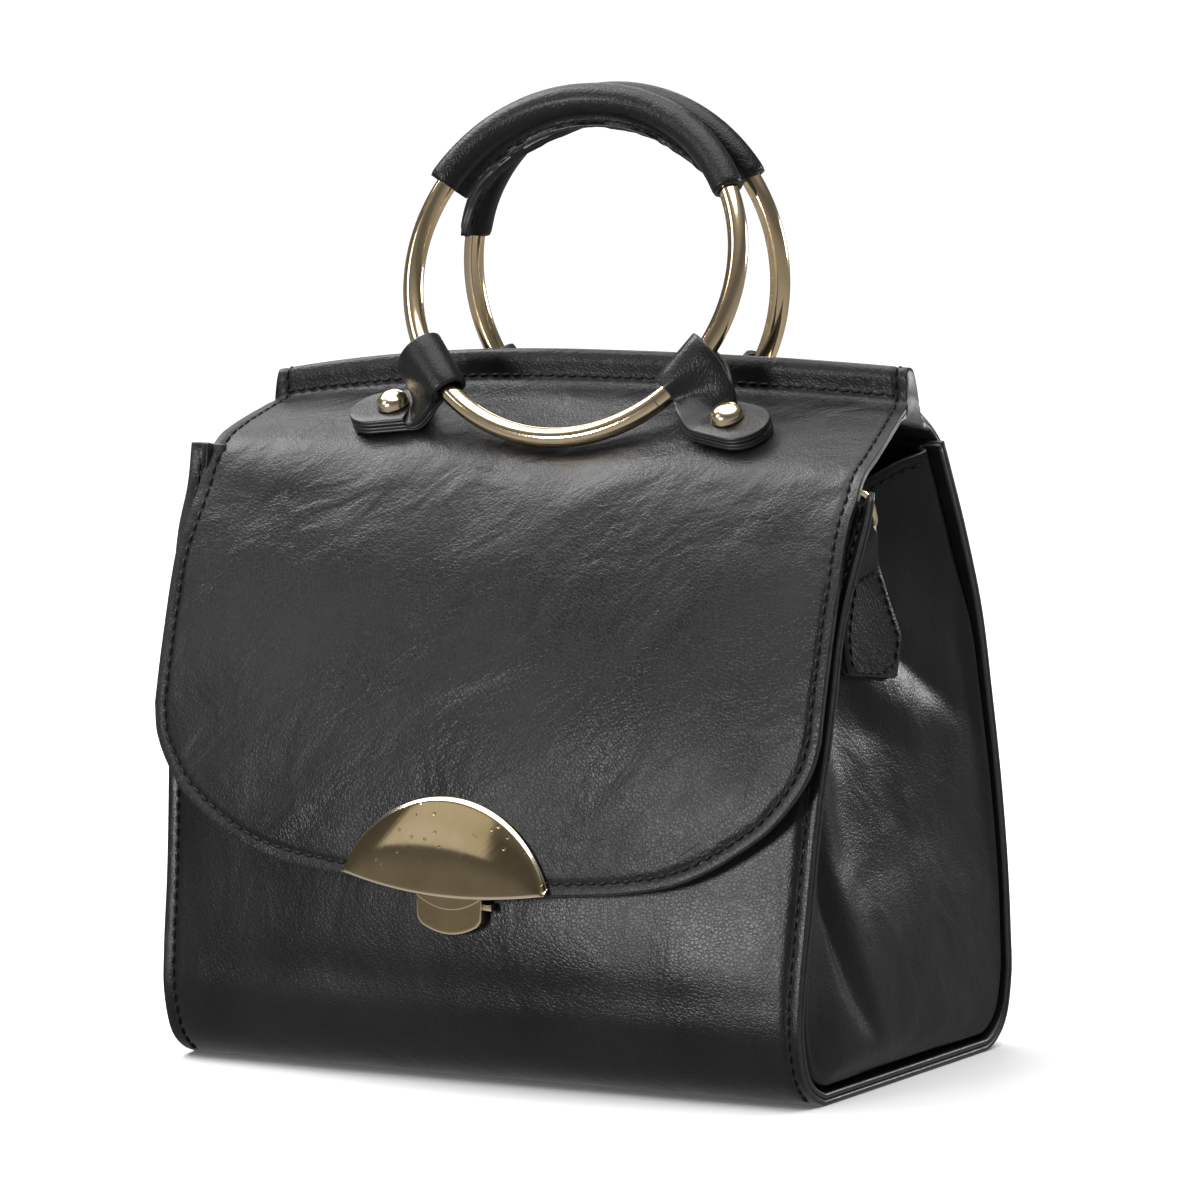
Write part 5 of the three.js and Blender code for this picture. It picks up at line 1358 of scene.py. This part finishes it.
# sine of the height, brightness of the dim room; straight to the camera the backdrop is white
SKY = [(-1.0, 0.45), (-0.35, 0.34), (-0.12, 0.24), (0.05, 0.22), (0.25, 0.12), (0.50, 0.10), (0.75, 0.30), (1.0, 0.45)]
for k, (at_z, level) in enumerate(SKY):
    e = sky.color_ramp.elements[k] if k < 2 else sky.color_ramp.elements.new(at_z / 2 + 0.5)
    e.position, e.color = at_z / 2 + 0.5, (level, level, level, 1)
straight = wt.nodes.new("ShaderNodeLightPath")
backdrop = wt.nodes.new("ShaderNodeMix")
backdrop.data_type = "RGBA"
for k_ in backdrop.inputs:
    if k_.type == "RGBA" and k_.name == "A":
        wt.links.new(sky.outputs[0], k_)
    if k_.type == "RGBA" and k_.name == "B":
        k_.default_value = (1.06, 1.06, 1.06, 1)
wt.links.new(straight.outputs["Is Camera Ray"], backdrop.inputs[0])
wt.links.new([k_ for k_ in backdrop.outputs if k_.type == "RGBA"][0], wt.nodes["Background"].inputs["Color"])
floor.visible_glossy = False


def aimed(o, at, look):
    bpy.context.scene.collection.objects.link(o)
    o.location = at
    o.rotation_euler = (Vector(look) - Vector(at)).to_track_quat("-Z", "Y").to_euler()
    return o


def soft_light(name, at, look, size, watts, colour=(1, 1, 1)):
    l = bpy.data.lights.new(name, "AREA")
    l.shape = "RECTANGLE"
    l.size, l.size_y = size
    l.energy = watts
    l.color = colour
    o = aimed(bpy.data.objects.new(name, l), at, look)
    o.visible_camera = False
    return o


def broad_light(name, at, strength, angle):
    """Even light from one side of the room."""
    l = bpy.data.lights.new(name, "SUN")
    l.energy = strength
    l.angle = math.radians(angle)
    return aimed(bpy.data.objects.new(name, l), at, (0, 0, 0))


broad_light("overhead", (0.0, -0.10, 1.5), 3.9, 75)
soft_light("top_left", (-1.15, 0.08, 1.48), (0, 0, 0.16), (0.9, 0.8), 22)
key = soft_light("key", (-1.30, -1.42, 1.05), (0, 0, 0.12), (0.6, 0.65), 4.6)
low = soft_light("low_front", (-0.62, -2.35, 0.42), (0.05, 0, 0.10), (0.5, 0.5), 30)
soft_light("back_left", (-0.95, 1.35, 1.25), (0, 0, 0.16), (1.2, 0.6), 6.5)
soft_light("back_right", (0.97, 1.50, 0.50), (0.1, 0, 0.12), (0.40, 0.34), 9)
# the flat polished plates are kept out of the two small lamps and see a wide dim one
glint = soft_light("plate_light", (-1.05, -1.55, 1.10), (0, 0, 0.08), (1.2, 0.95), 2.4)
plates = [o for o in bpy.context.scene.objects if o.name.startswith(("half_moon_plate", "lock_plate"))]
for lamp, state in ((key, "EXCLUDE"), (low, "EXCLUDE"), (glint, "INCLUDE")):
    group = bpy.data.collections.new(lamp.name + "_on")
    for o in plates:
        group.objects.link(o)
    lamp.light_linking.receiver_collection = group
    for k_ in group.collection_objects:
        k_.light_linking.link_state = state

cam = bpy.data.cameras.new("camera")
cam.sensor_width = 36.0
cam.lens = 7234.370448 / 1200 * 36.0
cam.clip_start, cam.clip_end = 0.1, 300
camera = bpy.data.objects.new("camera", cam)
bpy.context.scene.collection.objects.link(camera)
az, el, rho = math.radians(30), math.radians(6.257186740184675), math.radians(0.75)
r_ = np.array((math.cos(az), math.sin(az), 0))
b_ = np.array((math.sin(az) * math.cos(el), -math.cos(az) * math.cos(el), math.sin(el)))
u_ = np.cross(b_, r_)
right_ = math.cos(rho) * r_ - math.sin(rho) * u_
up_ = math.sin(rho) * r_ + math.cos(rho) * u_
place = np.array((0.006338429603865, 0, 0.15190429617998)) + b_ * 2.4
camera.matrix_world = Matrix([[right_[k], up_[k], b_[k], place[k]] for k in range(3)] + [[0, 0, 0, 1]])
bpy.context.scene.camera = camera
bpy.context.scene.view_settings.view_transform = "Standard"
bpy.context.scene.view_settings.look = "None"

tris = {o.name: sum(len(p_.vertices) - 2 for p_ in o.data.polygons) for o in bpy.context.scene.objects if o.type == "MESH" and "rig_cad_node" not in o}
print("triangles", sum(tris.values()), tris)
